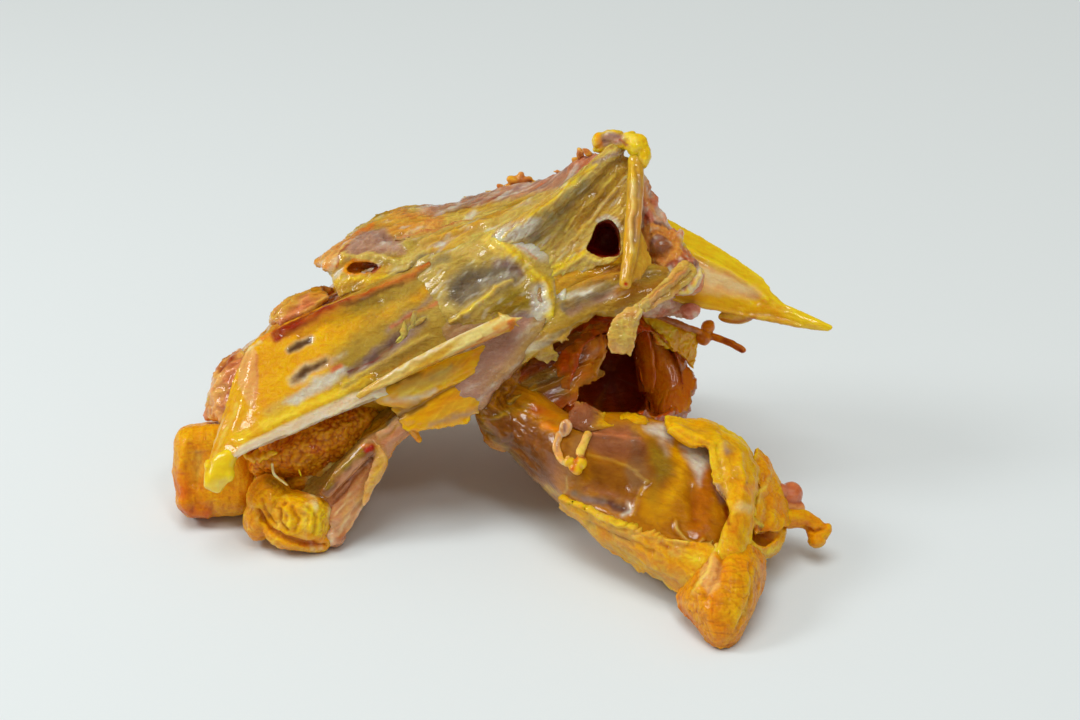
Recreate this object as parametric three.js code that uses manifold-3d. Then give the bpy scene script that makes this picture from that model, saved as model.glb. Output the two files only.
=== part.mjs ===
// A raw chicken carcass, picked of breast, legs and wings, standing folded like a tent.
// The breastbone and rib cage lie on top and run down to the left, where flaps of skin rest on the table.
// The backbone bends under them and runs down to the right, to the pelvis and the tail.
//
// Millimetres, +Z up, the table at Z = 0. Every place is given as the carcass is seen from the front and a
// little above: steps to the right and down over a view of 1080 by 720 steps, then millimetres nearer to it.

import * as THREE from "three";
import { mergeVertices } from "three/addons/utils/BufferGeometryUtils.js";
import Module from "manifold-3d";

const STEP = 0.32; // one step across the view, at the middle of the carcass
const VIEW_WIDTH = 1080;
const VIEW_HEIGHT = 720;
const EYE_DISTANCE = 620;
const EYE_TILT = THREE.MathUtils.degToRad(27);
const AIM = new THREE.Vector3(12, 3.5, 55); // where the middle of the view lies
const RIB_RELIEF = 0.07; // share of a swelling that its ribs stand out by
const END_BOW = THREE.MathUtils.degToRad(55); // how far round the end of a limb its last ring lies
const EDGE_SHARE = 0.25; // half thickness of a sheet at its edges, as a share of its thickness
const WELD = 1e-4; // points nearer than this are one
const TRIM_DEPTH = 60; // what is cut off below the table
const TRIM_WIDTH = 400;
const SKIN_COLOUR = 0xd9a43a;
const SKIN_ROUGHNESS = 0.35;

const RIGHT = new THREE.Vector3(1, 0, 0);
const NEAR = new THREE.Vector3(0, -Math.cos(EYE_TILT), Math.sin(EYE_TILT));
const UP = new THREE.Vector3(0, Math.sin(EYE_TILT), Math.cos(EYE_TILT));

const wasm = await Module();
wasm.setup();

function at([across, down, near]) {
  const scale = (STEP * (EYE_DISTANCE - near)) / EYE_DISTANCE;
  return AIM.clone()
    .addScaledVector(RIGHT, (across - VIEW_WIDTH / 2) * scale)
    .addScaledVector(UP, (VIEW_HEIGHT / 2 - down) * scale)
    .addScaledVector(NEAR, near);
}

function smooth(points, count) {
  return new THREE.CatmullRomCurve3(points, false, "centripetal").getPoints(count);
}

// Values such as radii, spread evenly along a form and eased between neighbours.
function spread(values, share) {
  const place = share * (values.length - 1);
  const first = Math.min(Math.floor(place), values.length - 2);
  const ease = place - first;
  return values[first].map((value, i) => value * (1 - ease) + values[first + 1][i] * ease);
}

function manifoldOf(vertProperties, triVerts) {
  return new wasm.Manifold(new wasm.Mesh({ numProp: 3, vertProperties, triVerts }));
}

function solidOf(points, faces) {
  const geometry = new THREE.BufferGeometry();
  geometry.setAttribute("position", new THREE.Float32BufferAttribute(points.flatMap((p) => p.toArray()), 3));
  geometry.setIndex(faces.flat());
  const merged = mergeVertices(geometry, WELD);
  return manifoldOf(merged.attributes.position.array, new Uint32Array(merged.index.array));
}

// Rings of equal length, closed by a fan at each end.
function skinOf(rings) {
  const sides = rings[0].length;
  const points = rings.flat();
  const faces = [];
  for (let i = 0; i + 1 < rings.length; i++)
    for (let j = 0; j < sides; j++) {
      const a = i * sides + j;
      const b = i * sides + ((j + 1) % sides);
      faces.push([a, b, b + sides], [a, b + sides, a + sides]);
    }
  for (const [ring, start] of [[rings[0], 0], [rings.at(-1), (rings.length - 1) * sides]]) {
    const centre = ring.reduce((sum, p) => sum.add(p), new THREE.Vector3()).divideScalar(sides);
    points.push(centre);
    for (let j = 0; j < sides; j++) {
      const edge = [start + j, start + ((j + 1) % sides)];
      faces.push(start ? [edge[0], edge[1], points.length - 1] : [edge[1], edge[0], points.length - 1]);
    }
  }
  return solidOf(points, faces);
}

// A rounded form along a path. A station is a place, then its radii across the path and towards the viewer.
function limb(stations, { sides = 7 } = {}) {
  const steps = 2 * (stations.length - 1);
  const centres = smooth(stations.map(at), steps);
  const radii = stations.map((station) => station.slice(3));
  const rings = [];
  for (let i = 0; i <= steps; i++) {
    const ahead = centres[Math.min(i + 1, steps)].clone().sub(centres[Math.max(i - 1, 0)]).normalize();
    const depth = NEAR.clone().addScaledVector(ahead, -NEAR.dot(ahead)).normalize();
    const side = depth.clone().cross(ahead).normalize();
    const [wide, deep] = spread(radii, i / steps);
    const ring = (centre, share) =>
      Array.from({ length: sides }, (_, j) => {
        const angle = (2 * Math.PI * j) / sides;
        return centre
          .clone()
          .addScaledVector(side, wide * share * Math.cos(angle))
          .addScaledVector(depth, deep * share * Math.sin(angle));
      });
    const end = i === 0 ? -1 : i === steps ? 1 : 0;
    const dome = centres[i].clone().addScaledVector(ahead, end * Math.min(wide, deep) * Math.sin(END_BOW));
    if (end < 0) rings.push(ring(dome, Math.cos(END_BOW)));
    rings.push(ring(centres[i], 1));
    if (end > 0) rings.push(ring(dome, Math.cos(END_BOW)));
  }
  return skinOf(rings);
}

// A rounded lump. Radii are [right, up, near]; turn is degrees anticlockwise; squareness 2 is an ellipsoid.
function lump({ place, radii, turn = 0, squareness = 2 }, { sides = 8, rows = 5 } = {}) {
  const centre = at(place);
  const angle = THREE.MathUtils.degToRad(turn);
  const first = RIGHT.clone().multiplyScalar(Math.cos(angle)).addScaledVector(UP, Math.sin(angle));
  const second = UP.clone().multiplyScalar(Math.cos(angle)).addScaledVector(RIGHT, -Math.sin(angle));
  const power = (value) => Math.sign(value) * Math.abs(value) ** (2 / squareness);
  const rings = [];
  for (let i = 1; i < rows; i++) {
    const polar = Math.PI * (i / rows);
    rings.push(
      Array.from({ length: sides }, (_, j) => {
        const around = (2 * Math.PI * j) / sides;
        const share = [
          power(Math.sin(polar) * Math.cos(around)),
          power(Math.cos(polar)),
          power(Math.sin(polar) * Math.sin(around)),
        ];
        return centre
          .clone()
          .addScaledVector(first, radii[0] * share[0])
          .addScaledVector(second, radii[1] * share[1])
          .addScaledVector(NEAR, radii[2] * share[2]);
      }),
    );
  }
  return skinOf(rings);
}

// A skin or blade between rails that run the same way, thinner towards its edges. Its back swells away from
// the viewer by the given millimetres.
function sheet(rails, thickness, { along = 10, across = 3, back = 0 } = {}) {
  const lines = Object.values(rails).map((rail) => smooth(rail.map(at), along));
  const grid = Array.from({ length: along + 1 }, (_, i) => smooth(lines.map((line) => line[i]), across));
  const normals = grid.map((row, i) =>
    row.map((_, j) => {
      const ahead = grid[Math.min(i + 1, along)][j].clone().sub(grid[Math.max(i - 1, 0)][j]);
      const aside = row[Math.min(j + 1, across)].clone().sub(row[Math.max(j - 1, 0)]);
      return ahead.cross(aside).normalize();
    }),
  );
  const facing = Math.sign(normals.flat().reduce((sum, normal) => sum + normal.dot(NEAR), 0));
  const rings = grid.map((row, i) => {
    const atEdge = (j) => i === 0 || i === along || j === 0 || j === across;
    const half = (j) => (atEdge(j) ? EDGE_SHARE : 0.5) * thickness * facing;
    const front = row.map((p, j) => p.clone().addScaledVector(normals[i][j], half(j)));
    const rear = row.map((p, j) => {
      const middle = Math.sin((Math.PI * i) / along) * Math.sin((Math.PI * j) / across);
      const swell = back * Math.sqrt(Math.abs(middle));
      return p.clone().addScaledVector(normals[i][j], -half(j)).addScaledVector(NEAR, -swell);
    });
    return [...front, ...rear.reverse()];
  });
  return skinOf(rings);
}

// A full body inside rails that run the same way, listed around it. Ribs stand out of its far side.
function body(rails, { along = 12, around = 12, ribs = 0 } = {}) {
  const lines = Object.values(rails).map((rail) => smooth(rail.map(at), along));
  const rings = Array.from({ length: along + 1 }, (_, i) => {
    const loop = new THREE.CatmullRomCurve3(lines.map((line) => line[i]), true, "centripetal");
    const ring = loop.getPoints(around).slice(0, -1);
    const centre = ring.reduce((sum, p) => sum.add(p), new THREE.Vector3()).divideScalar(around);
    const swell = RIB_RELIEF * Math.cos((2 * Math.PI * ribs * i) / along);
    return ring.map((p) => {
      const arm = p.clone().sub(centre);
      return arm.dot(NEAR) < 0 ? p.addScaledVector(arm, swell) : p;
    });
  });
  return skinOf(rings);
}

// A solid whose faces look inwards is turned inside out.
function outward(solid) {
  if (solid.volume() > 0) return solid;
  const { vertProperties, triVerts } = solid.getMesh();
  const turned = triVerts.slice();
  for (let i = 0; i < turned.length; i += 3) {
    turned[i + 1] = triVerts[i + 2];
    turned[i + 2] = triVerts[i + 1];
  }
  return manifoldOf(vertProperties, turned);
}

function joined(solids) {
  return solids.map(outward).reduce((whole, next) => whole.add(next));
}

// The ribs, under the breastbone, and the thin far side that shows above it.
const RIB_CAGE = {
  crest: [
    [213, 412, -24], [225, 374, -26], [252, 344, -28], [292, 310, -28], [335, 292, -26],
    [390, 262, -26], [450, 238, -26], [520, 215, -22], [585, 185, -12],
  ],
  upperFront: [
    [238, 440, -12], [262, 400, -8], [300, 365, -8], [345, 340, -6], [390, 312, -5], [440, 290, -5],
    [490, 268, -4], [540, 245, -2], [600, 225, -3],
  ],
  lowerFront: [
    [262, 452, -14], [305, 432, -10], [350, 412, -8], [395, 396, -4], [440, 380, 0], [480, 350, 2],
    [530, 305, 3], [580, 280, 2], [640, 262, -2],
  ],
  lowerEdge: [
    [290, 448, -20], [330, 436, -16], [372, 420, -14], [415, 405, -10], [455, 395, -6], [500, 365, -4],
    [550, 325, -4], [600, 305, -6], [668, 285, -6],
  ],
  underside: [
    [280, 440, -34], [325, 425, -44], [370, 405, -50], [415, 390, -52], [460, 375, -50],
    [505, 350, -46], [555, 318, -40], [605, 295, -30], [660, 275, -16],
  ],
  back: [
    [255, 410, -42], [290, 385, -54], [330, 360, -62], [375, 335, -66], [425, 312, -66],
    [475, 290, -60], [530, 265, -50], [590, 240, -36], [640, 235, -20],
  ],
  upperBack: [
    [232, 395, -36], [250, 360, -44], [280, 325, -50], [325, 300, -52], [370, 275, -54],
    [425, 250, -52], [480, 230, -46], [540, 212, -36], [600, 195, -22],
  ],
};

const FAR_LOBE = {
  top: [
    [315, 263, -18], [336, 251, -22], [356, 230, -28], [392, 212, -32], [440, 206, -34],
    [495, 191, -34], [550, 179, -30], [595, 152, -14],
  ],
  middle: [
    [325, 268, -12], [352, 250, -14], [385, 238, -16], [425, 230, -18], [465, 220, -20],
    [510, 207, -20], [555, 190, -18], [598, 158, -10],
  ],
  bottom: [
    [338, 282, -12], [365, 270, -12], [395, 262, -12], [430, 252, -10], [470, 240, -8], [510, 226, -8],
    [550, 208, -8], [602, 172, -8],
  ],
};

const FAT_SCRAPS = [
  { place: [518, 180, -30], radii: [3.4, 2.2, 3], turn: 10 },
  { place: [581, 156, -16], radii: [3, 3.6, 3], turn: 30 },
  { place: [565, 172, -22], radii: [4, 2.6, 3], turn: 30 },
];
const SIDE_MEAT = { place: [233, 368, -22], radii: [4.4, 6, 5], turn: -20 };
const RIDGE_MEAT = { place: [312, 300, -20], radii: [9, 3.6, 5], turn: 22 };

function ribCage() {
  return [
    body(RIB_CAGE, { along: 16, around: 11, ribs: 6 }),
    sheet(FAR_LOBE, 4, { along: 10, across: 3, back: 14 }),
    ...[...FAT_SCRAPS, SIDE_MEAT, RIDGE_MEAT].map((scrap) => lump(scrap)),
  ];
}

// The breastbone: a wide plate on the left, its crown behind, and the keel that stands up to the right.
const PLATE = {
  top: [
    [207, 472, 9], [222, 424, 5], [238, 376, 0], [254, 344, -3], [292, 322, -4], [342, 300, -5],
    [400, 272, -6], [450, 250, -6],
  ],
  middle: [
    [209, 480, 12], [240, 440, 11], [275, 400, 8], [310, 375, 5], [350, 350, 3], [400, 322, 1],
    [440, 300, 0], [480, 280, -1],
  ],
  bottom: [
    [213, 485, 13], [238, 462, 14], [288, 444, 12], [340, 424, 9], [390, 405, 6], [430, 388, 4],
    [470, 365, 3], [510, 335, 1],
  ],
};

const CROWN = {
  top: [
    [326, 266, -14], [347, 254, -14], [385, 240, -13], [440, 228, -12], [500, 212, -10], [560, 186, -6],
  ],
  bottom: [
    [338, 298, -8], [364, 289, -6], [402, 274, -5], [450, 256, -3], [500, 245, 0], [560, 225, 0],
  ],
};

const KEEL = {
  ridge: [[505, 240, 2], [540, 215, 3], [580, 183, 2], [618, 152, -2]],
  middle: [[520, 262, 1], [560, 232, 0], [600, 200, -1], [632, 162, -2]],
  edge: [[545, 290, 0], [590, 268, 1], [615, 260, 2], [632, 235, 2]],
};
const KEEL_RIDGE = [
  [500, 243, 3, 4.5, 3], [535, 218, 5, 3.4, 3], [575, 185, 4, 2.8, 2.6], [612, 154, 1, 3, 3],
  [621, 143, -1, 3, 3],
];

function breastbone() {
  return [
    sheet(PLATE, 3, { along: 12, across: 3 }),
    sheet(CROWN, 3, { along: 8, across: 2 }),
    sheet(KEEL, 2.4, { along: 8, across: 4 }),
    limb(KEEL_RIDGE),
  ];
}

// The end of the keel: knobs of cartilage, and a bony strut with a flap of meat that hangs from them.
const KEEL_KNOBS = [
  { place: [637, 152, 2], radii: [4, 5.6, 4], turn: -12 },
  { place: [613, 139, -2], radii: [4.6, 3.2, 3.6] },
  { place: [603, 147, -4], radii: [3, 2.6, 3] },
  { place: [626, 144, 0], radii: [4, 3.2, 3.4] },
];
const STRUT = [
  [636, 160, 2, 2.6, 2.4], [635, 200, 5, 2.8, 2.4], [631, 245, 8, 2.6, 2.2], [625, 284, 11, 2, 1.6],
];
const STRUT_FLAP = {
  far: [[637, 222, 5], [646, 245, 5], [650, 262, 6], [640, 280, 8]],
  near: [[633, 225, 6], [632, 250, 8], [628, 275, 10], [626, 284, 11]],
};

function keelTip() {
  return [
    ...KEEL_KNOBS.map((knob) => lump(knob)),
    limb(STRUT),
    sheet(STRUT_FLAP, 1.8, { along: 5, across: 2 }),
  ];
}

// The shoulder under the keel's end, with the strap that crosses it and the band of meat below.
const SHOULDER_EDGE = [
  [640, 178, -8, 2, 4], [645, 208, -12, 3.6, 9], [656, 236, -12, 5.6, 11], [674, 262, -8, 6.4, 10],
  [688, 280, -2, 5, 6],
];
const SHOULDER_JOINT = { place: [685, 281, 3], radii: [6, 4.6, 4.5], turn: 35 };
const STRAP = [[690, 268, 5, 3.4, 1.8], [668, 288, 9, 3, 1.6], [645, 306, 12, 2.2, 1.5]];
const STRAP_FLAP = {
  left: [[630, 306, 13], [613, 318, 14], [606, 335, 14], [611, 350, 13]],
  right: [[643, 304, 12], [641, 320, 13], [636, 338, 13], [630, 356, 12]],
};

const SHOULDER_BAND = {
  top: [[548, 290, -2], [585, 276, -3], [625, 262, -2], [672, 268, -2]],
  middle: [[535, 325, 3], [575, 305, 4], [620, 290, 4], [674, 286, 2]],
  bottom: [[505, 378, 4], [545, 348, 6], [585, 322, 6], [655, 306, 2]],
};

const CROSS_BAND = [
  [530, 245, 3, 4, 2], [545, 270, 4, 4, 2.5], [552, 300, 5, 4.5, 2.5], [548, 330, 5, 3, 2],
];
const SHOULDER_MEAT = {
  top: [[596, 154, -8], [620, 158, -8], [640, 178, -8]],
  upper: [[560, 205, -18], [604, 212, -22], [650, 215, -18]],
  lower: [[540, 250, -18], [604, 256, -20], [662, 250, -16]],
  bottom: [[545, 290, -8], [604, 285, -8], [670, 278, -6]],
};

const SHOULDER_BRIDGE = {
  top: [[640, 300, -8], [668, 296, -10], [700, 300, -14]],
  bottom: [[642, 318, -16], [668, 315, -20], [694, 318, -22]],
};

function shoulder() {
  return [
    limb(SHOULDER_EDGE),
    lump(SHOULDER_JOINT),
    limb(STRAP),
    sheet(STRAP_FLAP, 2, { along: 5, across: 2 }),
    sheet(SHOULDER_BAND, 3, { along: 8, across: 4, back: 10 }),
    limb(CROSS_BAND),
    sheet(SHOULDER_MEAT, 4, { along: 6, across: 4, back: 12 }),
    sheet(SHOULDER_BRIDGE, 3, { along: 5, across: 2 }),
  ];
}

// The near side below the breastbone: a rod of bone, two more plates of meat and a membrane behind them.
const ROD = [
  [352, 398, 8, 1.6, 1.4], [400, 372, 9, 2.4, 2], [450, 347, 9, 2.8, 2.2], [508, 322, 9, 3.2, 2.4],
];
const SECOND_PLATE = {
  top: [[365, 396, 6], [410, 375, 6], [450, 358, 5], [485, 345, 4]],
  bottom: [[385, 405, 4], [415, 408, 3], [450, 400, 3], [480, 380, 3]],
};

const THIRD_PLATE = {
  top: [[392, 408, 2], [430, 395, 2], [465, 380, 3], [495, 370, 3]],
  bottom: [[400, 426, 2], [424, 431, 3], [452, 430, 3], [476, 412, 3]],
};
const THIRD_PLATE_POINT = [[408, 422, 1, 2, 1.6], [419, 440, 0, 0.9, 0.9]];
const FLANK_MEMBRANE = {
  left: [[430, 330, 2], [445, 370, 3], [455, 405, 3]],
  middleLeft: [[470, 300, 2], [480, 350, 3], [480, 410, 3]],
  middleRight: [[520, 285, 3], [510, 345, 4], [494, 392, 4]],
  right: [[548, 290, 3], [545, 325, 5], [520, 365, 5]],
};

function flank() {
  return [
    limb(ROD),
    sheet(SECOND_PLATE, 3, { along: 6, across: 2 }),
    sheet(THIRD_PLATE, 3.6, { along: 6, across: 2 }),
    limb(THIRD_PLATE_POINT, { sides: 6 }),
    sheet(FLANK_MEMBRANE, 4, { along: 6, across: 4 }),
  ];
}

// The skin that rests on the table at the left: a square block, a wrinkled lump and a thin strip of skin.
const SKIN_BLOCK = { place: [219, 468, -21], radii: [13.9, 15.4, 13], turn: 2, squareness: 3.8 };
const SKIN_LUMP = { place: [290, 517, -1], radii: [14, 11, 12], turn: -22, squareness: 2.5 };
const STRIP_END = { place: [334, 538, -2], radii: [5, 4, 5] };
const BLOCK_TO_LUMP = [[236, 482, -20, 7, 8], [285, 482, -16, 7, 8], [335, 462, -14, 8, 8]];
const LUMP_ROLL = [
  [262, 510, 0, 3, 3], [272, 530, 2, 3, 3.5], [292, 542, 3, 3, 3.5], [322, 542, 1, 3, 3],
];
const FOLLICLE_SKIN = [
  [264, 462, -10, 5, 8], [300, 450, -9, 9, 9], [335, 435, -10, 9, 9], [366, 414, -13, 5, 7],
];
const LEG_STRIP = {
  back: [[440, 372, -8], [392, 402, -10], [345, 440, -10], [310, 478, -8], [300, 500, -4]],
  middle: [[448, 400, 0], [400, 425, 0], [366, 462, 0], [340, 500, 0], [325, 520, 1]],
  edge: [[452, 420, -4], [406, 436, -3], [384, 468, -3], [362, 508, -2], [340, 543, 0]],
};
const BLOCK_TO_RIBS = [
  [228, 452, -28, 10, 10], [270, 425, -30, 12, 13], [320, 400, -32, 12, 15], [380, 372, -32, 12, 17],
];

function restingSkin() {
  return [
    lump(SKIN_BLOCK, { sides: 12, rows: 7 }),
    lump(SKIN_LUMP, { sides: 12, rows: 7 }),
    lump(STRIP_END),
    limb(BLOCK_TO_LUMP),
    limb(LUMP_ROLL),
    limb(FOLLICLE_SKIN, { sides: 10 }),
    sheet(LEG_STRIP, 4, { along: 8, across: 3, back: 5 }),
    limb(BLOCK_TO_RIBS),
  ];
}

// The backbone's end of the ribs, the bend below it and the pelvis, with the scraps at the basket's corner.
const RIB_BASKET = {
  top: [[518, 352, -22], [560, 318, -30], [610, 303, -38], [655, 310, -44], [684, 330, -46]],
  upperFront: [[512, 366, -14], [560, 338, -12], [605, 328, -12], [652, 322, -22], [684, 345, -34]],
  lowerFront: [[512, 390, -12], [555, 395, -6], [600, 402, -4], [655, 404, -12], [688, 386, -34]],
  bottom: [[524, 412, -20], [565, 440, -20], [610, 458, -28], [655, 452, -36], [687, 418, -46]],
  lowerBack: [[530, 410, -40], [570, 426, -58], [615, 438, -72], [655, 434, -70], [684, 405, -62]],
  back: [[530, 385, -48], [570, 370, -70], [615, 360, -82], [655, 362, -78], [684, 372, -66]],
  upperBack: [[525, 360, -40], [565, 332, -56], [612, 316, -64], [655, 320, -64], [684, 344, -58]],
};

const BEND = [[514, 362, -8, 5, 6], [490, 402, -6, 6, 8], [505, 425, -8, 8, 10]];
const PELVIS = {
  top: [
    [500, 375, -6], [530, 388, -4], [562, 414, 6], [600, 414, 6], [650, 418, 4], [695, 424, 5],
    [730, 436, 8], [752, 458, 12],
  ],
  upperFace: [
    [484, 392, -4], [515, 425, 2], [560, 452, 16], [610, 460, 19], [660, 468, 21], [705, 475, 21],
    [732, 490, 22], [752, 505, 20],
  ],
  lowerFace: [
    [478, 410, -6], [510, 445, -2], [550, 480, 10], [588, 512, 20], [628, 535, 28], [670, 548, 33],
    [705, 552, 33], [740, 545, 28],
  ],
  bottom: [
    [482, 422, -12], [516, 458, -8], [558, 502, 2], [598, 535, 12], [638, 563, 20], [672, 577, 26],
    [700, 577, 28], [735, 565, 26],
  ],
  underside: [
    [486, 425, -20], [520, 455, -18], [560, 490, -12], [600, 515, -6], [640, 535, 2], [675, 548, 8],
    [705, 550, 12], [735, 545, 14],
  ],
  back: [
    [500, 395, -22], [535, 415, -20], [575, 440, -18], [615, 450, -18], [660, 460, -16],
    [700, 470, -12], [730, 480, -4], [750, 490, 4],
  ],
  upperBack: [
    [505, 375, -16], [540, 392, -16], [578, 424, -10], [618, 430, -12], [662, 436, -12],
    [702, 442, -10], [732, 450, -2], [752, 468, 6],
  ],
};

const BASKET_CORNER = {
  left: [[644, 318, -22], [672, 317, -24], [700, 332, -30]],
  right: [[655, 345, -24], [678, 352, -28], [691, 366, -32]],
};

const BASKET_WALL = {
  outer: [[684, 366, -40], [695, 380, -42], [692, 395, -42], [690, 412, -40]],
  inner: [[668, 360, -40], [672, 378, -42], [672, 395, -42], [668, 412, -40]],
};

const CORNER_FAT = { place: [710, 332, -30], radii: [3.8, 4.6, 3.6] };
const PELVIS_STUB = { place: [573, 438, 14], radii: [3.4, 6, 3.6], turn: 12 };
const PELVIS_FAT = { place: [576, 465, 19], radii: [3.6, 3.2, 3.2] };
const MARROW_ROD = [[714, 337, -30, 1.3, 1.3], [729, 342, -29, 1.2, 1.2], [743, 350, -28, 1.3, 1.3]];

function backbone() {
  return [
    body(RIB_BASKET, { along: 12, around: 12, ribs: 4 }),
    limb(BEND),
    body(PELVIS, { along: 12, around: 12, ribs: 4 }),
    sheet(BASKET_CORNER, 3, { along: 4, across: 2 }),
    sheet(BASKET_WALL, 3, { along: 5, across: 2 }),
    ...[CORNER_FAT, PELVIS_STUB, PELVIS_FAT].map((scrap) => lump(scrap)),
    limb(MARROW_ROD, { sides: 6 }),
  ];
}

// The tail below the pelvis, and the folds of skin at its right: a funnel, a knob and a curled end.
const TAIL = {
  left: [[694, 562, 28], [680, 588, 32], [677, 602, 35], [692, 620, 39], [707, 641, 43]],
  middleLeft: [[722, 548, 36], [712, 580, 44], [710, 604, 48], [715, 628, 49], [720, 647, 47]],
  middleRight: [[745, 545, 34], [742, 575, 42], [738, 602, 46], [730, 628, 48], [726, 648, 46]],
  right: [[762, 552, 22], [762, 576, 28], [755, 602, 34], [742, 628, 40], [732, 644, 44]],
};

const PELVIS_MARGIN = [
  [690, 430, 9, 4, 4], [722, 440, 12, 5, 4.5], [742, 465, 17, 6, 6], [740, 500, 24, 6, 6],
  [728, 535, 32, 6, 6],
];
const SIDE_FOLD = [
  [757, 458, 8, 3, 3], [765, 480, 12, 3.6, 3.6], [769, 500, 16, 3.6, 3.6], [760, 514, 22, 3, 3],
];
const FUNNEL_RIM = [
  [752, 511, 22, 2.2, 2.2], [768, 508, 18, 2.2, 2.2], [781, 517, 12, 2.2, 2.2],
  [782, 532, 10, 2.2, 2.2], [774, 546, 14, 2.2, 2.2], [760, 554, 20, 2.4, 2.4],
];
const CURL = [
  [784, 522, 10, 3.6, 3.2], [803, 520, 8, 3.6, 3], [815, 526, 7, 3.4, 3], [816, 537, 8, 3.2, 3.2],
];
const FUNNEL_FLOOR = { place: [766, 533, 15], radii: [6.2, 7, 7] };
const SKIN_KNOB = { place: [790, 492, 6], radii: [4.2, 4, 4.4] };
const KNOB_ROOT = { place: [776, 486, 8], radii: [4, 3.4, 4] };

function tail() {
  return [
    sheet(TAIL, 5, { along: 8, across: 5, back: 14 }),
    limb(PELVIS_MARGIN),
    limb(SIDE_FOLD),
    limb(FUNNEL_RIM, { sides: 6 }),
    limb(CURL),
    ...[FUNNEL_FLOOR, SKIN_KNOB, KNOB_ROOT].map((fold) => lump(fold)),
  ];
}

// The blade of cartilage that ends in the tip at the far right.
const BLADE = {
  top: [
    [655, 214, -20], [690, 232, -20], [722, 250, -19], [745, 266, -18], [768, 284, -17],
    [780, 300, -16], [806, 313, -15.5], [832, 325, -15],
  ],
  middle: [
    [660, 255, -14], [695, 268, -14], [728, 282, -15], [752, 295, -16], [772, 305, -16],
    [784, 312, -16], [806, 320, -15.5], [833, 328, -15],
  ],
  bottom: [
    [662, 296, -10], [694, 307, -12], [728, 313, -14], [756, 318, -15], [775, 321, -15],
    [786, 324, -15], [806, 329, -15], [828, 332, -15],
  ],
};

const BLADE_LOBE = { place: [735, 317, -16], radii: [6, 2.6, 2.2] };
const BLADE_SCRAP = { place: [690, 311, -11.5], radii: [3.4, 2.8, 2.8] };

function blade() {
  return [
    sheet(BLADE, 3.6, { along: 12, across: 3 }),
    lump(BLADE_LOBE),
    lump(BLADE_SCRAP),
  ];
}

// A flap of meat that hangs over the left of the rib hollow, put on after the hollow is cut.
const SIDE_FLAP = {
  top: [[515, 372, -4], [550, 345, -8], [585, 328, -12], [608, 322, -14]],
  bottom: [[505, 408, -2], [545, 418, -4], [572, 398, -6], [603, 374, -10]],
};

function sideFlap() {
  return sheet(SIDE_FLAP, 2.4, { along: 6, across: 2 });
}

// What is cut out: the inside of the ribs, its open left side, and the two holes beside the keel.
const RIB_HOLLOW = { place: [623, 373, -34], radii: [19, 15.5, 34] };
const RIB_HOLLOW_SIDE = { place: [590, 399, -14], radii: [8.5, 5.5, 16] };
const KEEL_HOLE = { place: [604, 239, -2], radii: [4.8, 6.2, 11], turn: -10 };
const LOBE_HOLE = { place: [360, 268, -6], radii: [7, 1.9, 5], turn: 4 };

function hollows() {
  const cuts = [lump(RIB_HOLLOW, { sides: 12, rows: 7 })];
  for (const hole of [RIB_HOLLOW_SIDE, KEEL_HOLE, LOBE_HOLE]) cuts.push(lump(hole));
  return cuts.map(outward);
}


function belowTheTable() {
  const slab = new THREE.BoxGeometry(TRIM_WIDTH, TRIM_WIDTH, TRIM_DEPTH).translate(0, 0, -TRIM_DEPTH / 2);
  slab.deleteAttribute("normal");
  slab.deleteAttribute("uv");
  const merged = mergeVertices(slab);
  return manifoldOf(merged.attributes.position.array, new Uint32Array(merged.index.array));
}

function carcassGeometry() {
  const flesh = joined([
    ...ribCage(),
    ...breastbone(),
    ...shoulder(),
    ...flank(),
    ...restingSkin(),
    ...backbone(),
    ...tail(),
    ...blade(),
  ]);
  const hollowed = hollows().reduce((whole, hollow) => whole.subtract(hollow), flesh);
  const standing = joined([hollowed, sideFlap(), ...keelTip()]).subtract(belowTheTable());
  const whole = standing.decompose().sort((a, b) => b.volume() - a.volume())[0];
  const { vertProperties, triVerts } = whole.getMesh();
  return new THREE.BufferGeometry()
    .setAttribute("position", new THREE.BufferAttribute(vertProperties, 3))
    .setIndex(new THREE.BufferAttribute(triVerts, 1));
}

const carcass = new THREE.Mesh(
  carcassGeometry(),
  new THREE.MeshStandardMaterial({ color: SKIN_COLOUR, roughness: SKIN_ROUGHNESS, metalness: 0 }),
);
carcass.name = "carcass";

const chicken = new THREE.Group();
chicken.add(carcass);

export default chicken;
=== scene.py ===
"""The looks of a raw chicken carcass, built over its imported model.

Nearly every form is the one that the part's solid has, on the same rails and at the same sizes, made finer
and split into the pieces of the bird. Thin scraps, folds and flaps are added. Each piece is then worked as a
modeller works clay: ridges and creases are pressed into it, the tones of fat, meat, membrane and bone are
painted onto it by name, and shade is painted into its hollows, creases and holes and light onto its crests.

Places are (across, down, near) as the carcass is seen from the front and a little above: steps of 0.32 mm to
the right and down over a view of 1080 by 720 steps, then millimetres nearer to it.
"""
import math
import random

import bpy
import numpy as np
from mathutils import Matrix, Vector


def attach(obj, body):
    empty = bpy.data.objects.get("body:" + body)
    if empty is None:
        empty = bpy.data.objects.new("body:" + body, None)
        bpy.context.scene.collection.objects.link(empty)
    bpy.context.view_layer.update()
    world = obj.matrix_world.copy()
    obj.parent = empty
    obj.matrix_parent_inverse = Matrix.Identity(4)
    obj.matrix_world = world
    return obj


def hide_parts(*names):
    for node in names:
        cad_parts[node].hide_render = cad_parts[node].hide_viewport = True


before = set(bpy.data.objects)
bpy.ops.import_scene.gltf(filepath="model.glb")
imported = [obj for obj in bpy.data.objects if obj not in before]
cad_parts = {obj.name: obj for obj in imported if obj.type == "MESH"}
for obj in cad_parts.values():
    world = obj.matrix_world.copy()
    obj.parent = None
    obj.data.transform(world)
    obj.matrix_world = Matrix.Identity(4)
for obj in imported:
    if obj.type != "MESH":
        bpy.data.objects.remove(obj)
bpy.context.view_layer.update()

MM = 0.001
STEP = 0.32 * MM
VIEW_MIDDLE = (540, 360)
VIEW_WIDTH = 1080
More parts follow.
